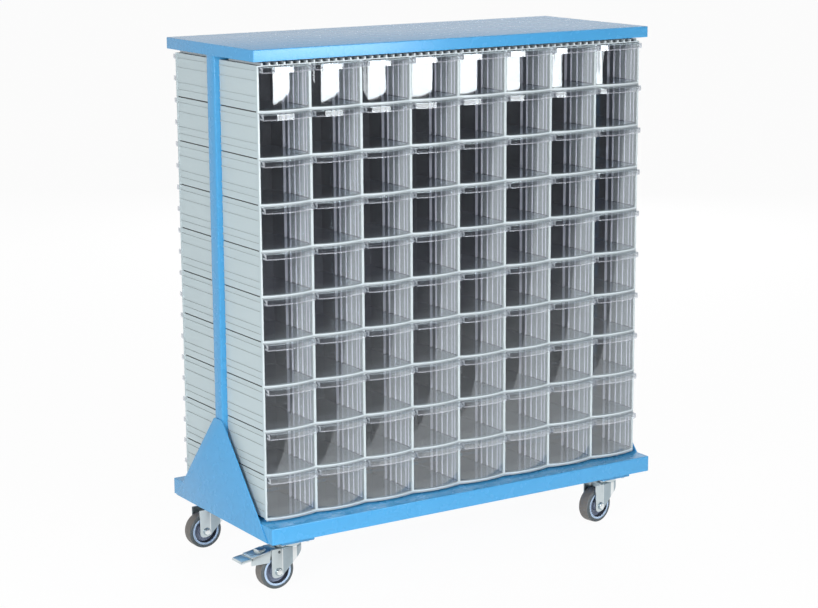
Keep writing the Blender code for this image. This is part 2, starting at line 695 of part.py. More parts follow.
def brake_pedal(prefix, swivel_frame):
    """The brake pedal: an arm on the brake pin, and behind the cheeks a tread as wide as the fork."""
    pin_x, pin_z = brake_pin_centre()
    half = FORK_GAP / 2 - SIDE_PLAY
    boss = PEDAL_BOSS
    start = pin_x - boss
    high = CROWN_TOP - FIT
    bend = -(PEDAL_REACH - PEDAL_TIP)
    low = high - PEDAL_DROP
    wide = -(CASTOR_TRAIL + FORK_BEHIND_AXLE + PEDAL_CLEARANCE)
    neck = wide - PEDAL_OVERLAP
    raked = wide - PEDAL_SKIRT_RAKE

    def level(x):
        return high - PEDAL_DROP * (start - x) / (start - bend)

    arm = [
        (start, high),
        (neck, level(neck)),
        (neck, level(neck) - PEDAL_SHEET),
        (start, high - PEDAL_SHEET),
    ]
    tread = [
        (wide, level(wide) + PEDAL_PROUD),
        (bend, low + PEDAL_PROUD),
        (-PEDAL_REACH, low - PEDAL_TIP_FALL),
        (-PEDAL_REACH, low - PEDAL_TIP_FALL - PEDAL_SHEET),
        (bend, low - PEDAL_SHEET - PEDAL_PROUD),
        (wide, level(wide) - PEDAL_SHEET - PEDAL_PROUD),
    ]
    hanger = [
        (pin_x + boss, pin_z - boss / 2),
        (pin_x + boss, pin_z + boss / 2),
        (start, high - PEDAL_SHEET / 2),
        (neck, level(neck) - PEDAL_SHEET / 2),
        (neck, level(neck) - PEDAL_HANGER / 2),
        (start, high - PEDAL_HANGER - PEDAL_SHEET),
        (pin_x + boss / 2, pin_z - boss),
    ]
    skirt = [
        (wide, level(wide) - PEDAL_SHEET / 2),
        (bend, low - PEDAL_SHEET / 2),
        (bend, low - PEDAL_SKIRT_END),
        (raked, level(raked) - PEDAL_SKIRT_ROOT),
    ]
    home = Matrix.Translation((-pin_x, 0, -pin_z))
    bore = BRAKE_PIN_RADIUS + BORE_PLAY
    meshes = {
        "arm": prism("arm", arm, -half, half, ALONG_Y),
        "hangers": side_pair("hanger", hanger, half),
        "tread": prism("tread", tread, -FORK_HALF_WIDTH, FORK_HALF_WIDTH, ALONG_Y),
        "skirts": side_pair("skirt", skirt, FORK_HALF_WIDTH),
        "pin_bore": cylinder("pin_bore", bore, -FORK_GAP, FORK_GAP, ALONG_Y, centre=brake_pin_centre()),
    }
    for mesh in meshes.values():
        mesh.transform(home)
    obj = part(f"{prefix}_pedal", meshes["arm"], ZINC, swivel_frame, location=(pin_x, 0, pin_z))
    for name in ("hangers", "tread", "skirts"):
        boolean(obj, "UNION", tool(f"{prefix}_{name}", meshes[name], parent=obj))
    boolean(obj, "DIFFERENCE", tool(f"{prefix}_pin_bore", meshes["pin_bore"], parent=obj))


def side_pair(name, outline, half):
    """The two folded sides of the pedal, left and right."""
    spans = [sorted((s * (half - PEDAL_SIDE_SHEET), s * half)) for s in (-1, 1)]
    return joined(f"{name}s", *[prism(name, outline, *span, ALONG_Y) for span in spans])


def castor(prefix, x, y, heading, braked):
    """One swivel castor; heading turns its trail away from -X."""
    fixed = frame_empty(f"{prefix}_mount", (x, y, 0))
    head_plate(prefix, fixed)
    swivel = frame_empty(f"{prefix}_swivel", (x, y, 0), turn=heading)
    fork(prefix, swivel, braked)
    axle = frame_empty(f"{prefix}_axle_frame", (-CASTOR_TRAIL, 0, WHEEL_RADIUS), parent=swivel)
    axle_bolt(prefix, axle)
    wheel(prefix, axle)
    if braked:
        brake_pedal(prefix, swivel)


def main():
    frame_pieces()
    front = Side(FRONT, 1, FRONT_BOW, FRONT_LIP_REACH, FRONT_LIP_HEIGHT, FRONT_ARC_STEPS)
    rear = Side(REAR, 2, REAR_BOW, REAR_LIP_REACH, REAR_LIP_HEIGHT, REAR_ARC_STEPS)
    for side in (front, rear):
        housing_stack(side)
        top_housing(side)
        for level in range(side.levels):
            row = ("lower", "upper")[level] if side.levels > 1 else "top"
            for column in range(COLUMNS):
                drawer(side, column, level, f"{side.label}_drawer_{row}_{column + 1}")
    castor("castor_front_left", -CASTOR_X, -CASTOR_Y, 0.0, True)
    castor("castor_front_right", CASTOR_X, -CASTOR_Y, FRONT_RIGHT_HEADING, False)
    castor("castor_rear_left", -CASTOR_X, CASTOR_Y, 0.0, False)
    castor("castor_rear_right", CASTOR_X, CASTOR_Y, REAR_RIGHT_HEADING, True)


main()
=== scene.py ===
"""Looks of the double-sided drawer cabinet: finishes, fine shapes, floor, lights and camera."""

import math
from contextlib import contextmanager

import bmesh
import bpy
from mathutils import Matrix, Vector


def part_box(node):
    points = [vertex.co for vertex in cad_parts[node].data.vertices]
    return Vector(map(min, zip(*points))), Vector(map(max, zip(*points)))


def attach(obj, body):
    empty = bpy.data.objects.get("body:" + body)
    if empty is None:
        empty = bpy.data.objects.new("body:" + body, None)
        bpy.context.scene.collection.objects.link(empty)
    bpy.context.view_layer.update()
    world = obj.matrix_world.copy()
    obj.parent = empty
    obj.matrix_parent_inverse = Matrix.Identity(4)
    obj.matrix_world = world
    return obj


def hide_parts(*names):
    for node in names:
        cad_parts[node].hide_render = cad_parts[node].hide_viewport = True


X, Y, Z = Vector((1, 0, 0)), Vector((0, 1, 0)), Vector((0, 0, 1))
NEAR = 1e-5

# How closely two directions agree, and how sharp an edge is, in radians
STRAIGHT = 0.999
SAME_WAY = 0.99
NEARLY = 0.9
MAINLY = 0.5
SHARP = math.radians(35)
FOLDED = 1.0

# Photograph and camera
PHOTO_WIDTH = 818
FOCAL_PIXELS = 2139.6
SENSOR = 36.0
CLIP_END = 200
CAMERA_PLACE = (-3.2098, -5.0034, 1.9250)
CAMERA_HEADING = 32.544
CAMERA_TILT = -11.92
CAMERA_ROLL = -0.344

# Steel frame
SHEET = 0.002
FOLD_ROUND = 0.0025
CORNER_ROUND = 0.004
POST_SHEET = 0.0025
POST_ROUND = 0.0045
GUSSET_APEX_ROUND = 0.008
GUSSET_EDGE = 0.0005
BEAM_STRETCH = 0.014

# Housings
COLUMNS = 8
STACK_ROWS = 9
HOUSING_DEPTH = 0.206
SIDE_PLAY = 0.0006
SHELF = 0.005
HALF_SHELF = 0.004
ROOF = 0.003
BACK_BOARD = 0.002
SHELF_LEAD = 0.001
SHELF_ROOT = 0.004
APRON_DROP = 0.0034
APRON_GAP = 0.0004
APRON_TOP = 0.0006
EDGE_ROUND = 0.0006
EDGE_BAND = 3 * EDGE_ROUND
BOW_END = 1e-4
END_WALL = 0.005
END_RIB_PLACES = (0.126, 0.336, 0.675, 0.833)
END_RIB_HEIGHT = 0.003
END_PANEL_DEPTH = 0.0015
END_STRIP = 0.007
SEAM_HEIGHT = 0.003
SEAM_DEPTH = 0.9 * END_WALL
ROOF_RIBS = 7
ROOF_RIB_HEIGHT = 0.0065
ROOF_RIB_WIDTH = 0.005
FOOT_WIDTH = 0.020
FOOT_INSET = 0.030

# Drawers; a guide has its depth behind the face, its width, and how proud it stands
DRAWER_WALL = 0.002
DRAWER_EDGE = 0.0005
FLOOR_FILLET = 0.0022
HOOD_WALL = 0.0025
HOOD_INSET = 0.0008
HOOD_ROOT = 0.0005
HOOD_RAKE = 0.0005
# Height of the painted highlight strip along the hood's lower edge
HOOD_HIGHLIGHT_STRIP = 0.0028
HOOD_END_RING = 0.0020
HOOD_END_AREA = 9e-5
HOOD_LIPS = {1: 0.015, 2: 0.014}
HOOD_BOWS = {1: 1.0, 2: 0.4}
GUIDES = (
    (0.010, 0.0020, 0.0012), (0.024, 0.0022, 0.0013), (0.048, 0.0024, 0.0016),
    (0.073, 0.0030, 0.0024), (0.100, 0.0042, 0.0034), (0.124, 0.0060, 0.0048),
)
GUIDE_START = 0.0002
GUIDE_DROP = 4 * DRAWER_WALL
RIM_ZONE = 2 * DRAWER_WALL
# Height of the painted shade along a drawer floor's corners
CORNER_SHADE_ZONE = 2 * FLOOR_FILLET

# Which way a drawer's faces look, as parts of their normals
HOOD_END_TURN = 0.6
# Slopes of the floor fillet faces that take painted shade
CORNER_SHADE_SLOPE = (0.2, 0.9)
GUIDE_TURN = (0.3, 0.97)
UPRIGHT = 0.1

# Finishes
BLUES = (0.056, 0.300, 0.585), (0.066, 0.324, 0.615)
BLUE_SPECK = (0.22, 0.50, 0.80)
SPECKLE = 0.03
GREYS = (0.455, 0.545, 0.574), (0.490, 0.578, 0.602)
# Front edges and roof ribs of the housings: painted paler, a painted highlight
EDGE_HIGHLIGHT_GREYS = (0.510, 0.580, 0.610), (0.550, 0.615, 0.640)
# Cell linings: painted light near the front, painted shade deeper in, with painted flute stripes
LINING_LIT_GREYS = (0.55, 0.605, 0.605), (0.65, 0.705, 0.700)
LINING_DEEP_SHADE = (0.105, 0.135, 0.170)
LINING_CORE_SHADE = (0.016, 0.020, 0.026)
LINING_PALE_DEPTH = 0.104
LINING_DARK_DEPTH = 0.140
LINING_FADE = 0.002
FLUTE_SHADE_WAVE = 760.0
FLUTE_SHADE_EDGE = 0.6
# Cell floors: painted light at the front, painted shade further in
CELL_FLOOR_LIT_AND_SHADED_GREYS = (0.330, 0.355, 0.365), (0.095, 0.108, 0.122)
CELL_FLOOR_SHADE_FADE = (0.012, 0.090)
CLEAR_GLOSS = (0.91, 0.97, 1.00)
CLEAR_SHEER = (0.972, 0.976, 0.984)
CLEAR_MILKY = (0.74, 0.77, 0.86)
HEAD_ON_GLOSS = 0.098
GLOSS_POWER = 5.0
ROLLING_LINES = (1, 1, 0.06)

# Castors, measured from the swivel axis
WHEEL_TRAIL = 0.048
AXLE_HEIGHT = 0.050
FORK_SHEET = 0.003
FORK_HALF_WIDTH = 0.0255
NOSE_HALF_WIDTH = 0.0238
STEP_PLACE = -0.034
STEP_RUN = 0.003
FORK_BEND = 0.003
NOSE_BAND = -0.004
NOSE_BEND = 0.009
FORK_NOSE = 0.032
FORK_TAIL = -0.069
LEG_BOTTOM = 0.034
LEG_ROUND = 0.012
HEEL = (-0.037, 0.036)
CHIN = (0.029, 0.100)
CROWN_TOP = 0.1137
CROWN_END = -0.040
WHEEL_MIDDLE = Vector((-WHEEL_TRAIL, 0, AXLE_HEIGHT))
WHEEL_SIDES = 64
RIM_RADIUS = 0.0405
RIM_HALF = 0.0210
RIM_RING = 0.006
RIM_INSET = 0.0006
RING_EDGE = 0.0005
DISH_STEPS = ((0.0020, -0.013), (0.0150, -0.001))
DISH_DEPTH = 0.014
DISH_SLOPE = 0.7
HUB_RING = 0.0015
TYRE_HALF = 0.0190
TYRE_SHOULDER = 0.0065
BORE_PLAY = 0.0003
TREAD_BAND = 0.0009
CASTOR_EDGE = 0.0006
THIN_EDGE = 0.0004
PIN_SIDES = 24

# Axle ends: how far out from the fork, radius, thickness and sides
AXLE_RADIUS = 0.0055
AXLE_EDGE = 0.0008
WASHER = (0.0010, 0.0112, 0.0020, 32)
HEXAGON = (0.0040, 0.0090, 0.0042, 6)
HEXAGON_ROUND = 0.0014

# Head: turned pieces by the height of their middle, radius, length and sides
PLATE_LOW = (-0.047, -0.040, 0.1252)
PLATE_HIGH = (0.047, 0.040, 0.128)
PLATE_EDGE = 0.0010
RACEWAY = (0.1197, 0.0285, 0.0112, WHEEL_SIDES)
RACEWAY_ROUND = 0.003
KINGPIN = (0.112, 0.009, 0.0092, 6)
KINGPIN_EDGE = 0.0008
BOLT = (0.1232, 0.0060, 0.0040, 6)
BOLT_X = 0.038
BOLT_Y = 0.030

# Brake pedal; a boss has its start, its end and its rise
BRAKE_PIN = (-0.046, 0, 0.1045)
PIN_RADIUS = 0.0038
PIN_PROUD = 0.0024
PEDAL_ROOT = (-0.0515, 0.1160)
PEDAL_WIDE = -0.0704
PEDAL_BEND = (-0.130, 0.1036)
PEDAL_TIP = -0.1615
PEDAL_HALF = 0.0222
PEDAL_SHEET = 0.0028
PEDAL_SIDE = 0.0024
PEDAL_LAP = 0.004
TIP_THICK = 0.0065
TIP_FALL = 0.0045
TIP_ROUND = 0.0022
TIP_PLACES = (-0.138, -0.145, -0.152, -0.157)
HANGERS = (0.005, 0.0135)
SKIRTS = (0.020, 0.030)
SKIRT_RAKE = 0.0048
ROCKER = (-0.103, -0.080, 0.0065)
DIMPLE = (-0.126, -0.108, 0.0012)
ROCKER_ROUND = 0.004
DIMPLE_RING = 0.003
PEDAL_BOSS = 0.0135

# Studio; a lamp has its place, what it points at, its size and its watts
BACK_LIGHT = 0.70
ROOM_LIGHT = 0.06
ZENITH_LIGHT = 0.35
BEHIND = (-0.2, 0.4)
OVERHEAD = (0.25, 0.85)
WHITE = (1.0, 1.0, 1.0)
FLOOR_SIZE = 80
FLOOR_GLOW = 0.95
PAPER = (0.90, 0.90, 0.90)
PAPER_EDGE = -1.40
PAPER_BLUR = 0.02
PAPER_MIRRORED = 0.95
ROOM_FLOOR = (0.04, 0.04, 0.05), (0.30, 0.30, 0.30)
ROOM_FLOOR_END = -3.4
SOFTBOXES = {
    "left_softbox": ((-4.5, -3.0, 2.0), (-0.4, 0, 0.7), (2.0, 2.0), 205),
    "front_softbox": ((0.3, -5.4, 2.8), (0, 0, 0.7), (2.2, 2.2), 145),
    "low_softbox": ((-1.7, -5.0, 0.9), (0, 0, 0.8), (2.0, 1.2), 75),
    "rear_softbox": ((3.4, 4.6, 2.2), (0, 0, 0.7), (2.2, 2.2), 150),
}
MIRRORED_SOFTBOX = "left_softbox"
WINDOWS = {
    "window": ((0.32, -2.24, 1.190), (0.32, 0, 1.190), (1.06, 0.25), 5.2),
    "window_above": ((0.32, -2.24, 1.66), (0.32, 0, 1.66), (1.17, 0.80), 26),
}
CLEAR_WALLS_IN_A_ROW = 24

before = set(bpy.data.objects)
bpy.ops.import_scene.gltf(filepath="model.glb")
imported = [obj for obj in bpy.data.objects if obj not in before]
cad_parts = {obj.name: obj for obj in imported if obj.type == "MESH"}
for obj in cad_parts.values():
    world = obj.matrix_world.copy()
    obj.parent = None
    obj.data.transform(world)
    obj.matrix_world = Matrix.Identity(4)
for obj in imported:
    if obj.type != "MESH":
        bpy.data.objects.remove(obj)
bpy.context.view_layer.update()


def use_only(obj):
    bpy.ops.object.select_all(action="DESELECT")
    obj.select_set(True)
    bpy.context.view_layer.objects.active = obj


def settle(obj):
    """Puts an object's place, turn and size into its mesh."""
    use_only(obj)
    bpy.ops.object.transform_apply(location=True, rotation=True, scale=True)
    return obj


def named(name):
    obj = bpy.context.object
    obj.name = name
    obj.data.name = name
    return settle(obj)


def block(name, low, high):
    """A box between two corners, as the start of a piece or a cutter."""
    low, high = Vector(low), Vector(high)
    bpy.ops.object.select_all(action="DESELECT")
    bpy.ops.mesh.primitive_cube_add(size=1, location=(low + high) / 2, scale=high - low)
    return named(name)


def drum(name, middle, radius, length, axis, sides=WHEEL_SIDES):
    """A cylinder about an axis, as the start of a turned piece."""
    turn = Z.rotation_difference(Vector(axis)).to_euler()
    bpy.ops.object.select_all(action="DESELECT")
    bpy.ops.mesh.primitive_cylinder_add(
        vertices=sides, radius=radius, depth=length, location=middle, rotation=turn
    )
    return named(name)


@contextmanager
def shaping(obj):
    """Edit mode on one piece, with nothing selected."""
    use_only(obj)
    bpy.ops.object.mode_set(mode="EDIT")
    bpy.ops.mesh.select_all(action="DESELECT")
    yield
    bpy.ops.object.mode_set(mode="OBJECT")


def pick(obj, kind, test):
    """Selects, in edit mode, the faces, edges or verts that pass a test."""
    bpy.ops.mesh.select_mode(type={"faces": "FACE", "edges": "EDGE", "verts": "VERT"}[kind])
    bpy.ops.mesh.select_all(action="DESELECT")
    mesh = bmesh.from_edit_mesh(obj.data)
    for element in getattr(mesh, kind):
        element.select_set(test(element))
    mesh.select_flush_mode()
    bmesh.update_edit_mesh(obj.data)


def slice_at(places, axis):
    """Cuts through the whole mesh, in edit mode, square to an axis at each place along it."""
    for place in places:
        bpy.ops.mesh.select_all(action="SELECT")
        bpy.ops.mesh.bisect(plane_co=place * axis, plane_no=axis)


def middle_of(edge):
    return (edge.verts[0].co + edge.verts[1].co) / 2


def runs_along(axis):
    """A test for straight edges that lie along an axis."""

    def test(edge):
        way = (edge.verts[1].co - edge.verts[0].co).normalized()
        return abs(way.dot(axis)) > STRAIGHT

    return test


def is_fold(edge):
    """True for an edge between two faces at a sharp angle."""
    return not edge.is_boundary and edge.calc_face_angle(0) > FOLDED


def modify(obj, kind, **settings):
    use_only(obj)
    modifier = obj.modifiers.new(kind.lower(), kind)
    for key, value in settings.items():
        setattr(modifier, key, value)
    bpy.ops.object.modifier_apply(modifier=modifier.name)
    return obj


def carve(obj, operation, *others):
    for other in others:
        modify(obj, "BOOLEAN", operation=operation, solver="EXACT", object=other)
        bpy.data.meshes.remove(other.data)
    return obj


def soften(obj, width, segments=2):
    """Rounds the sharp edges and shades the rest by angle."""
    if width:
        modify(
            obj, "BEVEL", width=width, segments=segments, limit_method="ANGLE",
            angle_limit=SHARP, use_clamp_overlap=True,
        )
    use_only(obj)
    bpy.ops.object.shade_smooth_by_angle(angle=SHARP)
    return obj


def repeat(obj, count, offset):
    return modify(
        obj, "ARRAY", count=count, use_relative_offset=False, use_constant_offset=True,
        constant_offset_displace=offset,
    )


def thicken(obj, wall):
    """Gives a sheet its thickness, inwards."""
    return modify(obj, "SOLIDIFY", thickness=wall, offset=-1, use_even_offset=True)


def joined(name, *objs):
    bpy.ops.object.select_all(action="DESELECT")
    for obj in objs:
        obj.select_set(True)
    bpy.context.view_layer.objects.active = objs[0]
    bpy.ops.object.join()
    return named(name)


def copied(obj, name, change):
    """A copy with its own mesh, moved by a matrix."""
    new = obj.copy()
    new.data = obj.data.copy()
    bpy.context.scene.collection.objects.link(new)
    new.name = name
    new.data.name = name
    new.matrix_world = change
    return settle(new)


def discard(*objs):
    for obj in objs:
        bpy.data.meshes.remove(obj.data)


def seat(obj, body, slot, *nodes):
    """A finished piece rides on its body and stands for its CAD nodes; the finish slot it is given is not
    used.
    """
    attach(obj, body)
    if nodes:
        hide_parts(*nodes)
    return obj


class Value:
    """A number in a material's node tree. Arithmetic on it adds Math nodes."""

    def __init__(self, finish, socket):
        self.finish, self.socket = finish, socket

    def math(self, operation, *others):
        inputs = dict(enumerate((self, *others)))
        return self.finish.value("ShaderNodeMath", {"operation": operation}, inputs)

    def __add__(self, other):
        return self.math("ADD", other)

    def __mul__(self, other):
        return self.math("MULTIPLY", other)

    __radd__, __rmul__ = __add__, __mul__

    def __rsub__(self, other):
        return (self * -1) + other

    def __abs__(self):
        return self.math("ABSOLUTE")

    def smooth(self, low, high):
        """0 below low, 1 above high, with an even rise between."""
        return self.finish.value(
            "ShaderNodeMapRange", {"interpolation_type": "SMOOTHSTEP"}, {"Value": self, 1: low, 2: high}
        )


class Finish:
    """A material, built up node by node."""

    def __init__(self, name):
        self.material = bpy.data.materials.new(name)
        self.material.use_nodes = True
        self.tree = self.material.node_tree
        self.tree.nodes.clear()
        self.output = self.tree.nodes.new("ShaderNodeOutputMaterial")
        self.place = self.node("ShaderNodeTexCoord").outputs["Object"]

    def node(self, kind, settings=None, inputs=None):
        node = self.tree.nodes.new(kind)
        for key, setting in (settings or {}).items():
            setattr(node, key, setting)
        for key, source in (inputs or {}).items():
            self.feed(node.inputs[key], source)
        return node

    def feed(self, socket, source):
        if isinstance(source, Value):
            source = source.socket
        if isinstance(source, bpy.types.NodeSocket):
            self.tree.links.new(source, socket)
        elif socket.type == "RGBA" and len(source) == 3:
            socket.default_value = (*source, 1.0)
        else:
            socket.default_value = source

    def value(self, kind, settings=None, inputs=None):
        return Value(self, self.node(kind, settings, inputs).outputs[0])

    def axis(self, letter):
        parts = self.node("ShaderNodeSeparateXYZ", inputs={"Vector": self.place})
        return Value(self, parts.outputs[letter])

    def noise(self, scale, detail=2.0, stretch=(1, 1, 1)):
        mapping = self.node("ShaderNodeMapping", inputs={"Vector": self.place, "Scale": stretch})
        inputs = {"Vector": mapping.outputs[0], "Scale": scale, "Detail": detail}
        return self.value("ShaderNodeTexNoise", None, inputs)

    def wander(self, least, spread, scale):
        """A number that wanders a little over the surface."""
        return least + self.noise(scale) * spread

    def mix(self, factor, first, second):
        node = self.node("ShaderNodeMix", {"data_type": "RGBA"})
        colours = [socket for socket in node.inputs if socket.type == "RGBA"]
        self.feed(node.inputs[0], factor)
        self.feed(colours[0], first)
        self.feed(colours[1], second)
        return next(socket for socket in node.outputs if socket.type == "RGBA")

    def bump(self, height, strength, distance):
        inputs = {"Height": height, "Strength": strength, "Distance": distance}
        return self.node("ShaderNodeBump", inputs=inputs).outputs["Normal"]

    def surface(self, **inputs):
        named_inputs = {key.replace("_", " "): value for key, value in inputs.items()}
        return self.node("ShaderNodeBsdfPrincipled", inputs=named_inputs).outputs["BSDF"]

    def blend(self, factor, first, second):
        return self.node("ShaderNodeMixShader", inputs={0: factor, 1: first, 2: second}).outputs[0]

    def done(self, shader):
        self.tree.links.new(shader, self.output.inputs["Surface"])
        return self.material


def powder_coat():
    """Blue powder coat: orange peel, a little speckle and slow changes of tone."""
    finish = Finish("blue_powder_coat_skin")
    tone = finish.mix(finish.noise(scale=3.0), *BLUES)
    speck = finish.noise(scale=420.0, detail=1.0) * SPECKLE
    peel = finish.noise(scale=380.0)
    return finish.done(
        finish.surface(
            Base_Color=finish.mix(speck, tone, BLUE_SPECK),
            Roughness=finish.wander(least=0.24, spread=0.06, scale=24.0),
            Normal=finish.bump(peel, strength=0.02, distance=0.0010),
        )
    )


def moulded_grey():
    """Light grey moulding with a fine spark texture."""
    finish = Finish("light_grey_moulding_skin")
    spark = finish.noise(scale=1100.0, detail=1.0)
    return finish.done(
        finish.surface(
            Base_Color=finish.mix(finish.noise(scale=4.0), *GREYS),
            Roughness=0.46 + spark * 0.12,
            Normal=finish.bump(spark, strength=0.06, distance=0.0005),
        )
    )


def painted_edge_highlight():
    """Front edges of a housing, painted paler than the grey moulding as a painted highlight."""
    finish = Finish("pale_edge_highlight_skin")
    return finish.done(
        finish.surface(
            Base_Color=finish.mix(finish.noise(scale=6.0), *EDGE_HIGHLIGHT_GREYS),
            Roughness=finish.wander(least=0.34, spread=0.08, scale=60.0),
        )
    )


def cell_lining(face):
    """Inside of the cells, painted light and shade: pale with fine upright stripes of painted flute shading
    near the front, unlit grey towards the core.
    """
    finish = Finish("cell_lining_light_and_shade_skin")
    depth = face - abs(finish.axis("Y"))
    deep = depth.smooth(LINING_PALE_DEPTH - LINING_FADE, LINING_PALE_DEPTH + LINING_FADE)
    core = depth.smooth(LINING_DARK_DEPTH - LINING_FADE, LINING_DARK_DEPTH + LINING_FADE)
    flute_shade = (depth * FLUTE_SHADE_WAVE).math("SINE").smooth(-FLUTE_SHADE_EDGE, FLUTE_SHADE_EDGE)
    colour = finish.mix(deep, finish.mix(flute_shade, *LINING_LIT_GREYS), LINING_DEEP_SHADE)
    return finish.done(
        finish.surface(
            Base_Color=finish.mix(core, colour, LINING_CORE_SHADE),
            Roughness=finish.wander(least=0.55, spread=0.1, scale=50.0),
        )
    )


def cell_floor(face):
    """Floors of the cells, painted light and shade: light at the front, unlit grey further in."""
    finish = Finish("cell_floor_light_and_shade_skin")
    depth = face - abs(finish.axis("Y"))
    return finish.done(
        finish.surface(
            Base_Color=finish.mix(depth.smooth(*CELL_FLOOR_SHADE_FADE), *CELL_FLOOR_LIT_AND_SHADED_GREYS),
            Roughness=finish.wander(least=0.36, spread=0.1, scale=200.0),
        )
    )


def clear_plastic(name, haze_low, haze_high, tint=CLEAR_MILKY):
    """Clear polystyrene: see-through, glossy by its angle to the eye, with a trace of cloudy white; in the
    edge finishes a strong tinted cloud is painted edge glow, painted highlight and painted shade.
    """
    finish = Finish(name)
    gloss = finish.node("ShaderNodeBsdfGlossy", inputs={"Color": CLEAR_GLOSS, "Roughness": 0.03})
    sheer = finish.node("ShaderNodeBsdfTransparent", inputs={"Color": CLEAR_SHEER})
    haze_and_glow = finish.surface(Base_Color=tint, Roughness=0.18)
    weight = finish.node("ShaderNodeLayerWeight", inputs={"Blend": 0.5})
    slant = Value(finish, weight.outputs["Facing"])
    sheen = HEAD_ON_GLOSS + slant.math("POWER", GLOSS_POWER) * (1 - HEAD_ON_GLOSS)
    body = finish.blend(sheen, sheer.outputs[0], gloss.outputs[0])
    # real haze on clear walls; in the edge finishes, painted glow, highlight and shade
    haze_and_glow_share = finish.wander(least=haze_low, spread=haze_high - haze_low, scale=18.0)
    return finish.done(finish.blend(haze_and_glow_share, body, haze_and_glow))


def zinc_plate(name, low, high):
    """Bright zinc plate: metal with faint clouds and fine rolling lines."""
    finish = Finish(name)
    cloud = finish.noise(scale=70.0, detail=3.0)
    lines = finish.noise(scale=300.0, detail=1.0, stretch=ROLLING_LINES)
    return finish.done(
        finish.surface(
            Base_Color=finish.mix(cloud, low, high),
            Metallic=1.0,
            Roughness=0.22 + cloud * 0.14 + lines * 0.06,
        )
    )


def tyre_rubber(name, low, high):
    """Grey rubber with a little dust."""
    finish = Finish(name)
    dust = finish.noise(scale=90.0, detail=3.0)
    return finish.done(
        finish.surface(
            Base_Color=finish.mix(dust, low, high),
            Roughness=0.42 + dust * 0.15,
            Normal=finish.bump(finish.noise(scale=700.0), strength=0.08, distance=0.0006),
        )
    )


def plain_plastic(name, low, high):
    """Plain plastic in two close tones: wheel rims, and the painted shade on a housing's joints and aprons
    and in a rim's dish.
    """
    finish = Finish(name)
    return finish.done(
        finish.surface(
            Base_Color=finish.mix(finish.noise(scale=40.0), low, high),
            Roughness=finish.wander(least=0.36, spread=0.1, scale=200.0),
        )
    )


BLUE = powder_coat()
GREY = moulded_grey()
EDGE = painted_edge_highlight()
# Painted shade, near black: the seam groove at a housing's foot, up-facing faces at its ends, and its roof
# under the top
JOINT_SHADE = plain_plastic("housing_joint_shade_skin", (0.030, 0.032, 0.034), (0.045, 0.048, 0.050))
# Painted shade: the short apron under each shelf edge, and the roof's front edge
APRON_SHADE = plain_plastic("housing_apron_shade_skin", (0.290, 0.330, 0.350), (0.325, 0.365, 0.385))
CLEAR = clear_plastic("clear_drawer_skin", 0.004, 0.016)
# Painted edge glow: a near-white haze on the drawers' top rims and guide ribs
CLEAR_EDGE_GLOW = clear_plastic("clear_drawer_edge_glow_skin", 0.80, 1.00, (0.86, 0.88, 1.00))
# Painted highlight: a light haze on the hood's top and on a strip along its lower edge
CLEAR_HOOD_HIGHLIGHT = clear_plastic("clear_drawer_hood_highlight_skin", 0.12, 0.22, (0.80, 0.82, 0.90))
# Painted edge glow, greyish, on the hood's end faces
CLEAR_HOOD_END_GLOW = clear_plastic("clear_drawer_hood_end_glow_skin", 0.70, 0.90, (0.50, 0.53, 0.58))
# Painted shade along the inner corners of a drawer's floor
CLEAR_CORNER_SHADE = clear_plastic("clear_drawer_corner_shade_skin", 0.45, 0.60, (0.26, 0.26, 0.35))
CLEAR_HOOD = clear_plastic("clear_drawer_hood_skin", 0.005, 0.020, (0.62, 0.67, 0.74))
ZINC = zinc_plate("zinc_plate_skin", (0.58, 0.66, 0.69), (0.70, 0.77, 0.79))
# Painted shade: a darker copy of the zinc for the fork's stepped cheek and nose and the washers
ZINC_SHADED = zinc_plate("zinc_plate_shaded_skin", (0.35, 0.43, 0.48), (0.46, 0.54, 0.58))
ZINC_DARK = zinc_plate("zinc_plate_pin_skin", (0.10, 0.12, 0.13), (0.16, 0.18, 0.19))
# Painted highlight: a paler copy of the zinc for the fork's bends and the hexagons
ZINC_HIGHLIGHT = zinc_plate("zinc_plate_highlight_skin", (0.84, 0.89, 0.90), (0.92, 0.95, 0.95))
RUBBER = tyre_rubber("grey_tyre_skin", (0.052, 0.066, 0.074), (0.080, 0.094, 0.100))
# Tread painted paler and tan: dust, and a painted highlight
TREAD_DUST_AND_SHEEN = tyre_rubber("dusty_tread_sheen_skin", (0.110, 0.105, 0.100), (0.165, 0.152, 0.140))
RIM = plain_plastic("grey_rim_skin", (0.150, 0.180, 0.255), (0.180, 0.215, 0.300))
# Painted shade, near black, on the walls of the rim's dish
RIM_DISH_SHADE = plain_plastic("rim_dish_shade_skin", (0.022, 0.026, 0.038), (0.032, 0.038, 0.052))
RING = plain_plastic("pale_rim_ring_skin", (0.340, 0.450, 0.600), (0.380, 0.490, 0.640))


def paint(obj, *finishes, choose=None):
    """Gives a piece its finishes; choose says which one a face takes."""
    obj.data.materials.clear()
    for finish in finishes:
        obj.data.materials.append(finish)
    for face in obj.data.polygons:
        face.material_index = choose(face) if choose else 0
    return obj


def folded_tray(name, node, open_ways, sheet, corner, fold):
    """A folded sheet shape in a node's box: open sides taken off, corners and folds rounded."""
    low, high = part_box(node)
    obj = block(name, low, high)
    with shaping(obj):
        pick(obj, "faces", lambda face: any(face.normal.dot(way) > SAME_WAY for way in open_ways))
        bpy.ops.mesh.delete(type="FACE")
        if corner:
            pick(obj, "edges", lambda edge: runs_along(Z)(edge) and not edge.is_boundary)
            bpy.ops.mesh.bevel(offset=corner, segments=3, affect="EDGES")
        pick(obj, "edges", is_fold)
        bpy.ops.mesh.bevel(offset=fold, segments=3, affect="EDGES")
    thicken(obj, sheet)
    return soften(obj, 0)


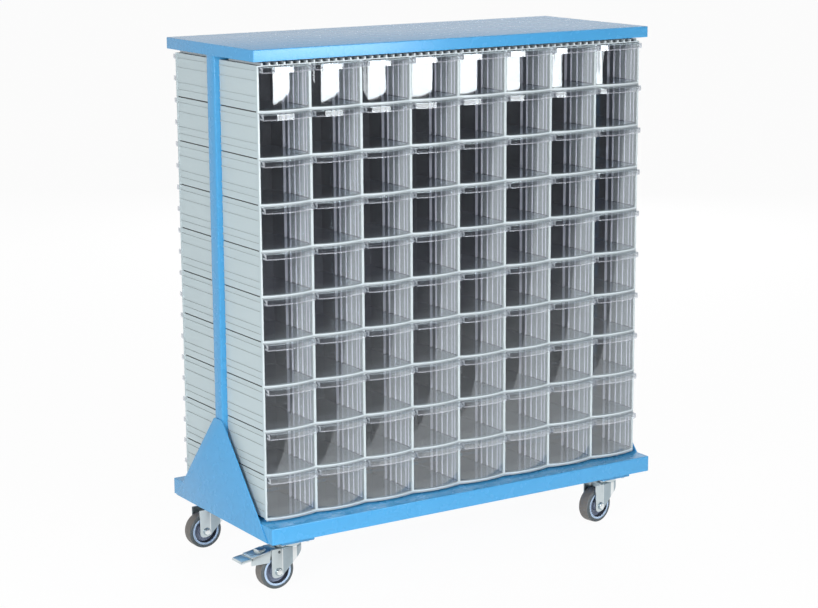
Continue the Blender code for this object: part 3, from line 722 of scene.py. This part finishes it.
def steel_frame():
    """Top, tray, posts, gussets and castor beams in blue powder coat."""

    def add(obj, node):
        seat(paint(obj, BLUE), "cabinet", "blue_powder_coat", node)

    for node, corner in (("top_panel", 0.0), ("base_tray", CORNER_ROUND)):
        add(folded_tray(f"{node}_skin", node, (-Z,), SHEET, corner, FOLD_ROUND), node)
    for side, out in (("left", -X), ("right", X)):
        node = f"post_{side}"
        add(folded_tray(f"{node}_skin", node, (-out, Z, -Z), POST_SHEET, 0.0, POST_ROUND), node)
        node = f"castor_beam_{side}"
        beam = folded_tray(f"{node}_skin", node, (Z,), POST_SHEET, 0.0, FOLD_ROUND)
        for vert in beam.data.vertices:
            vert.co.y += math.copysign(BEAM_STRETCH, vert.co.y)
        add(beam, node)
        add(gusset(side), f"gusset_{side}")


def gusset(side):
    """The triangular end plate: a flat blank drawn in to the post's width at its top."""
    low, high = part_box(f"gusset_{side}")
    post_low, post_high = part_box(f"post_{side}")
    obj = block(f"gusset_{side}_skin", low, high)
    taper = (post_high.y - post_low.y) / (high.y - low.y)
    with shaping(obj):
        pick(obj, "verts", lambda vert: vert.co.z > high.z - NEAR)
        bpy.ops.transform.resize(value=(1, taper, 1), center_override=((low.x + high.x) / 2, 0, high.z))
        pick(obj, "edges", lambda edge: runs_along(X)(edge) and middle_of(edge).z > high.z - NEAR)
        bpy.ops.mesh.bevel(offset=GUSSET_APEX_ROUND, segments=4, affect="EDGES")
    return soften(obj, GUSSET_EDGE)


class Side:
    """One long side: the way it faces, its levels of drawers, and the shape of their fronts."""

    def __init__(self, label, out, level_names, bow_steps):
        self.label, self.out, self.level_names, self.bow_steps = label, out, level_names, bow_steps
        self.levels = len(level_names)
        low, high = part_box(f"{label}_housing_top")
        self.left, self.right, self.bottom = low.x, high.x, low.z
        self.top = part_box(f"{label}_housing_roof")[1].z
        self.back = high.y if out < 0 else low.y
        self.face = self.back + out * HOUSING_DEPTH
        self.row = self.top - self.bottom
        self.level = self.row / self.levels
        self.drawer_low, self.drawer_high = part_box(f"{level_names[0]}_1")
        self.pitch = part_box(f"{level_names[0]}_2")[0].x - self.drawer_low.x
        self.drawer_back = self.drawer_high.y if out < 0 else self.drawer_low.y
        self.reach = abs((self.drawer_low.y if out < 0 else self.drawer_high.y) - self.face)
        self.bow = abs((low.y if out < 0 else high.y) - self.face) - SHELF_LEAD
        self.cell = self.drawer_high.x - self.drawer_low.x + 2 * SIDE_PLAY
        self.wall = self.pitch - self.cell
        self.first_cell = self.drawer_low.x - SIDE_PLAY
        self.stack_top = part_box(f"{label}_housing_stack")[1].z
        self.stack_bottom = self.stack_top - STACK_ROWS * self.row

    def ys(self, near, far):
        return sorted((near, far))

    def bowed(self, name, left, right, near, far, low, high, bow, bows=1):
        """A block whose outer face swells in plan, once or once for each column."""
        y_low, y_high = self.ys(near, far)
        obj = block(name, (left, y_low, low), (right, y_high, high))
        with shaping(obj):
            pick(obj, "edges", runs_along(X))
            bpy.ops.mesh.subdivide(number_cuts=bows * self.bow_steps - 1)
        width = (right - left) / bows
        for vert in obj.data.vertices:
            if abs(vert.co.y - far) < NEAR:
                share = ((vert.co.x - left) / width) % 1.0
                if min(share, 1 - share) < BOW_END:
                    share = 0.0
                vert.co.y += self.out * bow * 4 * share * (1 - share)
        return obj


def housing_row(side):
    """One housing: open cells behind a bowed shelf edge with a short apron, and panelled ends."""
    out = side.out
    y_low, y_high = side.ys(side.back, side.face)
    row = block(f"{side.label}_row", (side.left, y_low, side.bottom), (side.right, y_high, side.top - NEAR))
    edge_left = side.first_cell - side.wall / 2
    edge_right = edge_left + COLUMNS * side.pitch
    lead = side.face + out * SHELF_LEAD
    # the front cells run through to the middle of the cabinet, the rear ones end at a board
    cell_back = side.back + BACK_BOARD
    for level in range(side.levels):
        low = side.bottom + level * side.level
        floor = low + (SHELF if level == 0 else HALF_SHELF)
        ceiling = side.top - ROOF if level == side.levels - 1 else low + side.level
        for near, drop in ((-SHELF_ROOT, -SHELF_LEAD), (APRON_GAP, APRON_DROP)):
            shelf = side.bowed(
                "shelf", edge_left, edge_right, side.face + out * near, lead,
                low - drop, floor - EDGE_ROUND, side.bow, COLUMNS,
            )
            carve(row, "UNION", shelf)
        y_near, y_far = side.ys(cell_back, side.face + out * 2 * side.bow)
        cell_right = side.first_cell + side.cell
        cells = block("cells", (side.first_cell, y_near, floor), (cell_right, y_far, ceiling))
        repeat(cells, COLUMNS, (side.pitch, 0, 0))
        carve(row, "DIFFERENCE", cells)
    for end in (side.left, side.right):
        carve(row, "DIFFERENCE", *end_panels(side, end))
    soften(row, EDGE_ROUND, 1)
    with shaping(row):
        slice_at([side.bottom + level * side.level + APRON_TOP for level in range(side.levels)], Z)
    return row


def end_panels(side, end):
    """Cutters for one end of a housing: sunk panels between its ribs, and the dark seam at its foot."""
    y_low, y_high = side.ys(side.back - side.out * END_WALL, side.face - side.out * END_STRIP)
    ribs = [side.top - place * side.row for place in END_RIB_PLACES]
    tops = [side.top + END_RIB_HEIGHT, *(rib - END_RIB_HEIGHT / 2 for rib in ribs)]
    bottoms = [*(rib + END_RIB_HEIGHT / 2 for rib in ribs), side.bottom - END_RIB_HEIGHT]
    cuts = [("panel", END_PANEL_DEPTH, low, high) for low, high in zip(bottoms, tops)]
    cuts.append(("seam", SEAM_DEPTH, side.bottom - SEAM_HEIGHT, side.bottom + SEAM_HEIGHT))
    return [
        block(name, (end - depth, y_low, low), (end + depth, y_high, high))
        for name, depth, low, high in cuts
    ]


def line_housing(side, obj):
    """Grey outside, pale front edges as a painted highlight, lined cells in painted light and shade, and
    joints and aprons dark with painted shade.
    """
    grey, edge, lining, joint, floor, apron = range(6)

    def choose(face):
        place = face.center
        ahead = (place.y - side.face) * side.out
        at_end = not side.left + SEAM_DEPTH < place.x < side.right - SEAM_DEPTH
        over_apron = (place.z - side.bottom + APRON_DROP) % side.level
        # the apron under each shelf edge takes painted shade
        if ahead > SHELF_LEAD and over_apron < APRON_DROP + APRON_TOP:
            return apron
        # front edges take the painted highlight, the roof's front edge painted shade
        if ahead > -EDGE_BAND or (at_end and ahead > -END_STRIP - EDGE_ROUND):
            return apron if place.z > side.top - ROOF else edge
        inward = min(place.x - side.left, side.right - place.x)
        # the seam groove at the foot of each end takes painted shade
        in_seam = inward > END_PANEL_DEPTH + EDGE_ROUND and place.z < side.bottom + SEAM_HEIGHT + NEAR
        if at_end and in_seam:
            return joint
        looks_up = face.normal.z > MAINLY
        # up-facing faces at the ends and on the roof take painted shade
        if at_end or place.z > side.top - ROOF / 2:
            return joint if looks_up else grey
        return floor if looks_up else lining

    return paint(obj, GREY, EDGE, LINING, JOINT_SHADE, CELL_FLOOR, APRON_SHADE, choose=choose)


def housings(side):
    """The top housing with its stacking ribs, and the stack of nine below."""
    row = line_housing(side, housing_row(side))
    drop = Matrix.Translation((0, 0, side.stack_top - side.top))
    stack = copied(row, f"{side.label}_stack_rows", drop)
    repeat(stack, STACK_ROWS, (0, 0, -side.row))
    foot_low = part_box(f"{side.label}_housing_stack")[0].z
    feet = []
    for near in (side.back + side.out * FOOT_INSET, side.face - side.out * (FOOT_INSET + FOOT_WIDTH)):
        y_low, y_high = side.ys(near, near + side.out * FOOT_WIDTH)
        low = (side.left + FOOT_WIDTH, y_low, foot_low)
        foot = block("foot", low, (side.right - FOOT_WIDTH, y_high, side.stack_bottom + SHELF / 2))
        feet.append(paint(soften(foot, EDGE_ROUND, 1), GREY))
    stack = joined(f"{side.label}_stack_skin", stack, *feet)
    seat(stack, "cabinet", "light_grey_housing", f"{side.label}_housing_stack")
    top = joined(f"{side.label}_housing_skin", row, roof_ribs(side))
    seat(top, "cabinet", "light_grey_housing", f"{side.label}_housing_top", f"{side.label}_housing_roof")


def roof_ribs(side):
    """Low stacking ribs, front to back, on the roof of the uppermost housing."""
    step = side.pitch / ROOF_RIBS
    y_low, y_high = side.ys(side.back + side.out * FOOT_INSET, side.face - side.out * EDGE_ROUND)
    left = side.first_cell + (step - ROOF_RIB_WIDTH) / 2
    low = (left, y_low, side.top - ROOF / 2)
    rib = block("roof_ribs", low, (left + ROOF_RIB_WIDTH, y_high, side.top + ROOF_RIB_HEIGHT))
    soften(rib, EDGE_ROUND, 1)
    # the roof ribs take the paler edge finish, a painted highlight
    paint(rib, EDGE)
    return repeat(rib, COLUMNS * ROOF_RIBS, (step, 0, 0))


def drawer_shape(side, detailed):
    """The first drawer of a side: bowed tub and hooded lip, with guide ribs if it is detailed."""
    low, high = side.drawer_low, side.drawer_high
    lip = HOOD_LIPS[side.levels]
    hood_bow = side.bow * HOOD_BOWS[side.levels]
    hood_out = side.face + side.out * (side.reach - hood_bow)
    wall, out = DRAWER_WALL, side.out
    left, right = low.x, high.x
    hood_left, hood_right = left + HOOD_INSET, right - HOOD_INSET
    hood = side.bowed(
        "hood", hood_left, hood_right, side.face - out * HOOD_ROOT, hood_out,
        high.z - lip, high.z, hood_bow,
    )
    for vert in hood.data.vertices:
        if vert.co.z > high.z - NEAR and (vert.co.y - side.face) * out > HOOD_WALL:
            vert.co.y -= out * HOOD_RAKE
    gap = side.bowed(
        "finger_gap", hood_left + HOOD_WALL, hood_right - HOOD_WALL,
        side.face - out * HOOD_WALL, hood_out - out * HOOD_WALL,
        high.z - 2 * lip, high.z - HOOD_WALL, hood_bow,
    )
    tub = side.bowed(
        "tub", left, right, side.drawer_back, side.face, low.z, high.z - DRAWER_EDGE, side.bow
    )
    inside = side.bowed(
        "inside", left + wall, right - wall, side.drawer_back + out * wall, side.face - out * wall,
        low.z + wall, high.z + wall, side.bow,
    )
    carve(hood, "DIFFERENCE", gap)
    with shaping(hood):
        # this slice marks where the hood's painted highlight strip ends
        slice_at([high.z - lip + HOOD_HIGHLIGHT_STRIP], Z)
    carve(hood, "UNION", tub)
    carve(hood, "DIFFERENCE", inside)
    if detailed:
        with shaping(hood):
            floor = low.z + wall
            pick(hood, "edges", lambda edge: on_floor_line(edge, floor, (left + wall, right - wall)))
            bpy.ops.mesh.bevel(offset=FLOOR_FILLET, segments=1, affect="EDGES")
            pick(hood, "faces", lambda face: hood_end(side, face, (hood_left, hood_right)))
            bpy.ops.mesh.inset(thickness=HOOD_END_RING, use_individual=True)
        for sizes in GUIDES:
            for inward, x in ((1, left + wall), (-1, right - wall)):
                carve(hood, "UNION", guide_rib(side, x, inward, *sizes))
    return soften(hood, 0)


def guide_rib(side, x, inward, depth, width, proud):
    """One upright wedge on a drawer's side wall: flush at its front edge, proud at its back."""
    near, far = side.face - side.out * depth, side.face - side.out * (depth + width)
    y_low, y_high = side.ys(near, far)
    x_low, x_high = sorted((x - inward * DRAWER_WALL / 2, x + inward * proud))
    low, high = side.drawer_low.z + DRAWER_WALL / 2, side.drawer_high.z - GUIDE_DROP
    rib = block("guide", (x_low, y_low, low), (x_high, y_high, high))
    for vert in rib.data.vertices:
        if abs(vert.co.y - near) < NEAR and (vert.co.x - x) * inward > 0:
            vert.co.x = x + inward * GUIDE_START
    return rib


def on_floor_line(edge, floor, walls):
    """True for the lines where the inside of a drawer's floor meets its side walls."""
    place = middle_of(edge)
    if abs(place.z - floor) > NEAR or not runs_along(Y)(edge):
        return False
    return min(abs(place.x - wall) for wall in walls) < NEAR


def hood_end(side, face, ends):
    """True for the outer end faces of a drawer's hood."""
    place = face.calc_center_median()
    ahead = (place.y - side.face) * side.out > 0
    return ahead and abs(face.normal.x) > NEARLY and min(abs(place.x - end) for end in ends) < NEAR


def clear_finish(side, obj):
    """Clear walls and hood; painted edge glow on the rims, guide ribs and hood ends, a painted highlight on
    the hood's top and lower strip, and painted shade along the floor's corners.
    """
    top, floor = side.drawer_high.z, side.drawer_low.z
    left, right = side.drawer_low.x, side.drawer_high.x
    under_hood = top - HOOD_LIPS[side.levels]
    clear, rim, seam, hooded, hood_highlight, end = range(6)

    def hood_finish(face):
        # the hood's top and its lower strip take the painted highlight
        if face.normal.z > MAINLY or face.center.z < under_hood + HOOD_HIGHLIGHT_STRIP:
            return hood_highlight
        # hood end faces take the painted edge glow; on the front drawers only the ring round each end
        small = side.levels > 1 or face.area < HOOD_END_AREA
        return end if small and abs(face.normal.x) > HOOD_END_TURN else hooded

    def wall_finish(face):
        across, rise = abs(face.normal.x), abs(face.normal.z)
        # the drawer's top rim takes the painted edge glow
        if rise > MAINLY and face.center.z > top - RIM_ZONE:
            return rim
        # the floor's corner fillets take painted shade
        if CORNER_SHADE_SLOPE[0] < rise < CORNER_SHADE_SLOPE[1] and face.center.z < floor + CORNER_SHADE_ZONE:
            return seam
        # the guide ribs take the painted edge glow
        on_guide = GUIDE_TURN[0] < across < GUIDE_TURN[1] and rise < UPRIGHT
        return rim if on_guide else clear

    def choose(face):
        ahead = (face.center.y - side.face) * side.out
        share = (face.center.x - left) / (right - left)
        proud = ahead - side.bow * 4 * share * (1 - share)
        if proud > HOOD_WALL / 2 and face.center.z > under_hood - NEAR:
            return hood_finish(face)
        return wall_finish(face)

    return paint(obj, CLEAR, CLEAR_EDGE_GLOW, CLEAR_CORNER_SHADE, CLEAR_HOOD, CLEAR_HOOD_HIGHLIGHT, CLEAR_HOOD_END_GLOW, choose=choose)


def drawers(side, detailed):
    """Every drawer: the top housing's slide by themselves, those of the stack are one piece."""
    first = clear_finish(side, drawer_shape(side, detailed))
    drop = Matrix.Translation((0, 0, side.stack_top - side.top))
    stacked = copied(first, f"{side.label}_stack_drawers", drop)
    repeat(stacked, COLUMNS, (side.pitch, 0, 0))
    repeat(stacked, STACK_ROWS * side.levels, (0, 0, -side.level))
    if side.levels > 1:
        # the first drawer is a lower one, so the stack starts one level above it
        stacked.matrix_world = Matrix.Translation((0, 0, side.level))
        settle(stacked)
    seat(stacked, "cabinet", "clear_drawer")
    for prefix in side.level_names:
        for column in range(COLUMNS):
            node = f"{prefix}_{column + 1}"
            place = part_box(node)[0] - side.drawer_low
            drawer = copied(first, f"{node}_skin", Matrix.Translation(place))
            seat(drawer, node, "clear_drawer", node)
    discard(first)


def castor_fork():
    """Pressed fork: an open box with a round nose and stepped cheeks, cut to its side view."""
    low = (FORK_TAIL, -NOSE_HALF_WIDTH, LEG_BOTTOM - FORK_SHEET)
    obj = block("fork", low, (FORK_NOSE, NOSE_HALF_WIDTH, CROWN_TOP))
    step_end = STEP_PLACE - STEP_RUN
    with shaping(obj):
        pick(obj, "faces", lambda face: face.normal.z < -NEARLY or face.normal.x < -NEARLY)
        bpy.ops.mesh.delete(type="FACE")
        pick(obj, "edges", lambda edge: runs_along(Z)(edge) and not edge.is_boundary)
        bpy.ops.mesh.bevel(offset=FORK_NOSE - NOSE_BEND, segments=10, affect="EDGES")
        slice_at((STEP_PLACE, step_end, CROWN_END, NOSE_BAND), X)
        pick(obj, "faces", lambda face: face.normal.z > NEARLY and face.calc_center_median().x < CROWN_END)
        bpy.ops.mesh.delete(type="FACE")
        pick(obj, "edges", is_fold)
        bpy.ops.mesh.bevel(offset=FORK_BEND, segments=3, affect="EDGES")
    for vert in obj.data.vertices:
        if vert.co.x < step_end + NEAR and abs(vert.co.y) > NOSE_HALF_WIDTH - NEAR:
            vert.co.y = math.copysign(FORK_HALF_WIDTH, vert.co.y)
    thicken(obj, FORK_SHEET)
    carve(obj, "INTERSECT", fork_side_view())
    soften(obj, THIN_EDGE, 1)
    plain, shaded_panel, highlight_band = range(3)

    def choose(face):
        along = face.center.x
        if abs(face.normal.y) < MAINLY:
            return plain
        # the step and the start of the nose take a painted highlight; the stepped-back cheek and nose take
        # painted shade
        if step_end < along < STEP_PLACE or NOSE_BAND < along < NOSE_BEND:
            return highlight_band
        return shaded_panel if along > STEP_PLACE else plain

    return paint(obj, ZINC, ZINC_SHADED, ZINC_HIGHLIGHT, choose=choose)


def fork_side_view():
    """What the fork is cut to, seen from the side: a round foot under the axle, a slope to the nose."""
    wide = 2 * FORK_HALF_WIDTH
    view = block("side_view", (FORK_TAIL, -wide, LEG_BOTTOM), (2 * FORK_NOSE, wide, 2 * CROWN_TOP))
    away = Vector((CHIN[1] - HEEL[1], 0, HEEL[0] - CHIN[0])).normalized()
    heel = (HEEL[0], 0, HEEL[1])
    with shaping(view):
        bpy.ops.mesh.select_all(action="SELECT")
        bpy.ops.mesh.bisect(plane_co=heel, plane_no=away, clear_outer=True, use_fill=True)
        pick(view, "edges", lambda edge: runs_along(Y)(edge) and middle_of(edge).z < LEG_BOTTOM + NEAR)
        bpy.ops.mesh.bevel(offset=LEG_ROUND, segments=6, affect="EDGES")
    return view


def castor_axle():
    """Axle bolt with a hexagon head and nut on broad washers."""

    def end_piece(name, way, proud, radius, thick, sides):
        middle = (-WHEEL_TRAIL, way * (FORK_HALF_WIDTH + proud), AXLE_HEIGHT)
        return drum(name, middle, radius, thick, Y, sides)

    shank = drum("axle", WHEEL_MIDDLE, AXLE_RADIUS, 2 * FORK_HALF_WIDTH, Y, PIN_SIDES)
    pieces = [paint(soften(shank, AXLE_EDGE), ZINC)]
    for way in (-1, 1):
        washer = soften(end_piece("washer", way, *WASHER), CASTOR_EDGE)
        hexagon = soften(end_piece("hexagon", way, *HEXAGON), HEXAGON_ROUND, 3)
        # the washers take a darker zinc as painted shade and the hexagons a paler zinc as a painted
        # highlight
        pieces += [paint(washer, ZINC_SHADED), paint(hexagon, ZINC_HIGHLIGHT)]
    return joined("axle", *pieces)


def castor_tyre():
    """Grey rubber ring with round shoulders; its tread is painted paler and tan, partly as dust and partly
    as a painted highlight.
    """
    tyre = drum("tyre", WHEEL_MIDDLE, AXLE_HEIGHT, 2 * TYRE_HALF, Y)
    with shaping(tyre):
        pick(tyre, "edges", lambda edge: not runs_along(Y)(edge))
        bpy.ops.mesh.bevel(offset=TYRE_SHOULDER, segments=6, affect="EDGES")
    carve(tyre, "DIFFERENCE", drum("bore", WHEEL_MIDDLE, RIM_RADIUS + BORE_PLAY, 4 * TYRE_HALF, Y))
    soften(tyre, THIN_EDGE, 1)
    rubber, tread = range(2)

    # the tread band takes the paler finish, dust and a painted highlight
    def choose(face):
        place = face.center - WHEEL_MIDDLE
        return tread if math.hypot(place.x, place.z) > AXLE_HEIGHT - TREAD_BAND else rubber

    return paint(tyre, RUBBER, TREAD_DUST_AND_SHEEN, choose=choose)


def castor_rim():
    """Rim with a pale outer ring, a deep dish whose walls take painted shade, and a hub."""
    half = TYRE_HALF - RIM_INSET
    rim = drum("rim", WHEEL_MIDDLE, RIM_RADIUS, 2 * half, Y)
    steps = ((RIM_RING, 0), *DISH_STEPS, (HUB_RING, RIM_HALF - half + DISH_DEPTH))
    with shaping(rim):
        for way in (Y, -Y):
            pick(rim, "faces", lambda face: face.normal.dot(way) > SAME_WAY)
            for width, depth in steps:
                bpy.ops.mesh.inset(thickness=width, depth=depth)
    plain, ring, deep = range(3)

    def choose(face):
        place = face.center - WHEEL_MIDDLE
        radius = math.hypot(place.x, place.z)
        if radius > RIM_RADIUS - RIM_RING - RING_EDGE:
            return ring
        # the dish walls take painted shade
        return deep if abs(face.normal.y) < DISH_SLOPE and radius > RIM_RADIUS / 2 else plain

    return paint(soften(rim, CASTOR_EDGE), RIM, RING, RIM_DISH_SHADE, choose=choose)


def castor_plate():
    """Head plate, raceway and kingpin, with four bolt heads."""

    def turned(name, height, radius, length, sides, place=(0, 0)):
        return drum(name, (*place, height), radius, length, Z, sides)

    plate = soften(block("plate", PLATE_LOW, PLATE_HIGH), PLATE_EDGE)
    race = soften(turned("raceway", *RACEWAY), RACEWAY_ROUND, 3)
    pin = soften(turned("kingpin", *KINGPIN), KINGPIN_EDGE)
    bolts = []
    for x in (-BOLT_X, BOLT_X):
        for y in (-BOLT_Y, BOLT_Y):
            bolts.append(soften(turned("bolt", *BOLT, (x, y)), CASTOR_EDGE))
    return paint(joined("plate", plate, race, pin, *bolts), ZINC)


def castor_pedal():
    """Brake pedal: an arm on its pin, a wide tread with deep skirts and a rocker, and a lapped tip."""

    def strip(name, start, end, half, rise=0):
        return along_pedal(block(name, (start, -half, 0), (end, half, PEDAL_SHEET + rise)))

    def boss(name, start, end, rise):
        return strip(name, start, end, PEDAL_BOSS, rise)

    arm = strip("pedal", PEDAL_WIDE - PEDAL_LAP, PEDAL_ROOT[0], PEDAL_HALF)
    tread = strip("tread", PEDAL_BEND[0], PEDAL_WIDE, FORK_HALF_WIDTH)
    pieces = [arm, tread, pedal_tip()]
    spans = (
        (PEDAL_WIDE - PEDAL_LAP, PEDAL_ROOT[0] + 2 * PEDAL_SHEET, PEDAL_HALF, HANGERS, 0),
        (PEDAL_BEND[0], PEDAL_WIDE, FORK_HALF_WIDTH, SKIRTS, SKIRT_RAKE),
    )
    for start, end, half, hang, rake in spans:
        for way in (-1, 1):
            y_low, y_high = sorted((way * half, way * (half - PEDAL_SIDE)))
            pieces.append(along_pedal(block("side", (start, y_low, -1), (end, y_high, 0)), hang, rake))
    rocker, dimple = boss("rocker", *ROCKER), boss("dimple", *DIMPLE)
    crest = PEDAL_BEND[1] + ROCKER[2]
    with shaping(rocker):
        pick(rocker, "edges", lambda edge: runs_along(Y)(edge) and middle_of(edge).z > crest)
        bpy.ops.mesh.bevel(offset=ROCKER_ROUND, segments=4, affect="EDGES")
    with shaping(dimple):
        pick(dimple, "faces", lambda face: face.normal.z > NEARLY)
        bpy.ops.mesh.inset(thickness=DIMPLE_RING, depth=-DIMPLE[2])
    pieces = [paint(soften(piece, CASTOR_EDGE), ZINC) for piece in (*pieces, rocker, dimple)]
    pin = drum("pin", BRAKE_PIN, PIN_RADIUS, 2 * FORK_HALF_WIDTH + PIN_PROUD, Y, PIN_SIDES)
    return joined("pedal", *pieces, paint(soften(pin, CASTOR_EDGE), ZINC_DARK))


def along_pedal(obj, hang=(0, 0), rake=0):
    """Lays a block along the pedal's slope; what lies below zero hangs down, by one depth at each end."""
    start = min(vert.co.x for vert in obj.data.vertices)
    run = max(vert.co.x for vert in obj.data.vertices) - start
    fall = (PEDAL_ROOT[1] - PEDAL_BEND[1]) / (PEDAL_ROOT[0] - PEDAL_BEND[0])
    for vert in obj.data.vertices:
        share = (vert.co.x - start) / run
        drop = 0
        if vert.co.z < -NEAR:
            drop = hang[0] + share * (hang[1] - hang[0])
            vert.co.x -= share * rake
            vert.co.z = 0
        vert.co.z += PEDAL_BEND[1] + (vert.co.x - PEDAL_BEND[0]) * fall - PEDAL_SHEET - drop
    return obj


def pedal_tip():
    """The thick toe plate just under the tread's end, curling down to its edge."""
    root = PEDAL_BEND[0] + PEDAL_LAP
    top = PEDAL_BEND[1] - PEDAL_SHEET
    tip = block("tip", (PEDAL_TIP, -FORK_HALF_WIDTH, top - TIP_THICK), (root, FORK_HALF_WIDTH, top))
    with shaping(tip):
        slice_at(TIP_PLACES, X)
        pick(tip, "edges", lambda edge: runs_along(Y)(edge) and middle_of(edge).x < PEDAL_TIP + NEAR)
        bpy.ops.mesh.bevel(offset=TIP_ROUND, segments=4, affect="EDGES")
    for vert in tip.data.vertices:
        vert.co.z -= TIP_FALL * ((root - vert.co.x) / (root - PEDAL_TIP)) ** 2
    return tip


def castors():
    """The four castors, each part modelled once and copied to its own heading."""
    shapes = {
        "fork": (castor_fork(), "swivel_body", "zinc_plate"),
        "axle": (castor_axle(), "swivel_body", "zinc_plate"),
        "rim": (castor_rim(), "wheel", "grey_rim"),
        "tyre": (castor_tyre(), "wheel", "grey_tyre"),
        "plate": (castor_plate(), None, "zinc_plate"),
        "pedal": (castor_pedal(), "brake", "zinc_plate"),
    }
    for label in ("front_left", "front_right", "rear_left", "rear_right"):
        name = f"castor_{label}"
        plate_low, plate_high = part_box(f"{name}_plate")
        axle_low, axle_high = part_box(f"{name}_axle")
        swivel, axle = (plate_low + plate_high) / 2, (axle_low + axle_high) / 2
        trail = Vector((swivel.x - axle.x, swivel.y - axle.y))
        heading = math.atan2(trail.y, trail.x)
        place = Matrix.Translation((swivel.x, swivel.y, 0))
        for part, (shape, body, slot) in shapes.items():
            node = f"{name}_{part}"
            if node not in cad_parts:
                continue
            turn = Matrix.Identity(4) if part == "plate" else Matrix.Rotation(heading, 4, "Z")
            piece = copied(shape, f"{node}_skin", place @ turn)
            seat(piece, f"{name}_{body}" if body else "cabinet", slot, node)
    discard(*(shape for shape, _, _ in shapes.values()))


class Rays(Finish):
    """A finish, or the world, that looks different to the rays that show a background."""

    def shown(self, backdrop):
        """1 for rays that show the background: to the eye, through a clear wall, or mirrored."""
        path = self.node("ShaderNodeLightPath")
        kinds = ("Camera", "Transmission", "Glossy")
        eye, through, mirrored = (Value(self, path.outputs[f"Is {kind} Ray"]) for kind in kinds)
        return eye.math("MAXIMUM", through).math("MAXIMUM", mirrored * backdrop)

    def away(self):
        """How far a point or a direction lies beyond the middle, seen from the camera."""
        heading = math.radians(CAMERA_HEADING)
        return self.axis("X") * math.sin(heading) + self.axis("Y") * math.cos(heading)


class Surroundings(Rays):
    """The world: a white backdrop behind the cabinet, and a dim room on the camera's side."""

    def __init__(self):
        self.world = bpy.data.worlds.new("studio")
        self.world.use_nodes = True
        self.tree = self.world.node_tree
        self.tree.nodes.clear()
        output = self.tree.nodes.new("ShaderNodeOutputWorld")
        self.place = self.node("ShaderNodeTexCoord").outputs["Generated"]
        behind = self.away().smooth(*BEHIND)
        around = ROOM_LIGHT + behind * (BACK_LIGHT - ROOM_LIGHT)
        overhead = self.axis("Z").smooth(*OVERHEAD)
        glow = around + overhead * (ZENITH_LIGHT - around)
        strength = glow + self.shown(behind) * (1 - glow)
        sky = self.node("ShaderNodeBackground", inputs={"Color": WHITE, "Strength": strength})
        self.tree.links.new(sky.outputs[0], output.inputs["Surface"])
        bpy.context.scene.world = self.world


def studio():
    """Pale floor, white surroundings and soft lamps."""
    bpy.ops.object.select_all(action="DESELECT")
    bpy.ops.mesh.primitive_plane_add(size=FLOOR_SIZE, location=(0, 0, 0))
    floor = named("floor")
    finish = Rays("floor_skin")
    paper = finish.away().smooth(PAPER_EDGE - PAPER_BLUR, PAPER_EDGE + PAPER_BLUR)
    white = finish.node("ShaderNodeEmission", inputs={"Color": WHITE, "Strength": 1.0})
    boards = finish.mix(finish.away().smooth(ROOM_FLOOR_END, PAPER_EDGE), *ROOM_FLOOR)
    matt = finish.surface(Base_Color=finish.mix(paper, boards, PAPER), Roughness=0.9)
    glow = finish.shown(paper * PAPER_MIRRORED) * (1 - paper * (1 - FLOOR_GLOW))
    paint(floor, finish.done(finish.blend(glow, matt, white.outputs[0])))
    Surroundings()
    for name, settings in SOFTBOXES.items():
        lamp(name, *settings).visible_glossy = name == MIRRORED_SOFTBOX
    for name, settings in WINDOWS.items():
        lamp(name, *settings).visible_diffuse = False


def lamp(name, place, target, size, watts):
    """A rectangular lamp that the camera does not see."""
    light = bpy.data.lights.new(name, "AREA")
    light.shape = "RECTANGLE"
    light.size, light.size_y = size
    light.energy = watts
    obj = bpy.data.objects.new(name, light)
    bpy.context.scene.collection.objects.link(obj)
    obj.location = place
    obj.rotation_mode = "QUATERNION"
    obj.rotation_quaternion = (Vector(target) - Vector(place)).to_track_quat("-Z", "Y")
    obj.visible_camera = False
    return obj


def photograph():
    """The camera where the photograph was taken from."""
    data = bpy.data.cameras.new("photograph")
    data.sensor_fit = "HORIZONTAL"
    data.sensor_width = SENSOR
    data.lens = FOCAL_PIXELS / PHOTO_WIDTH * SENSOR
    data.clip_end = CLIP_END
    camera = bpy.data.objects.new("photograph", data)
    bpy.context.scene.collection.objects.link(camera)
    heading, tilt = math.radians(CAMERA_HEADING), math.radians(CAMERA_TILT)
    ahead = Vector(
        (math.sin(heading) * math.cos(tilt), math.cos(heading) * math.cos(tilt), math.sin(tilt))
    )
    camera.location = CAMERA_PLACE
    camera.rotation_mode = "QUATERNION"
    roll = Matrix.Rotation(math.radians(CAMERA_ROLL), 3, "Z").to_quaternion()
    camera.rotation_quaternion = ahead.to_track_quat("-Z", "Y") @ roll
    bpy.context.scene.camera = camera


photograph()
studio()
FRONT = Side("front", -1, ("front_drawer_top",), 12)
REAR = Side("rear", 1, ("rear_drawer_lower", "rear_drawer_upper"), 6)
LINING = cell_lining(abs(FRONT.face))
CELL_FLOOR = cell_floor(abs(FRONT.face))
steel_frame()
for bank in (FRONT, REAR):
    housings(bank)
    drawers(bank, bank is FRONT)
castors()

bpy.context.scene.cycles.transparent_max_bounces = CLEAR_WALLS_IN_A_ROW
bpy.context.scene.view_settings.view_transform = "Standard"
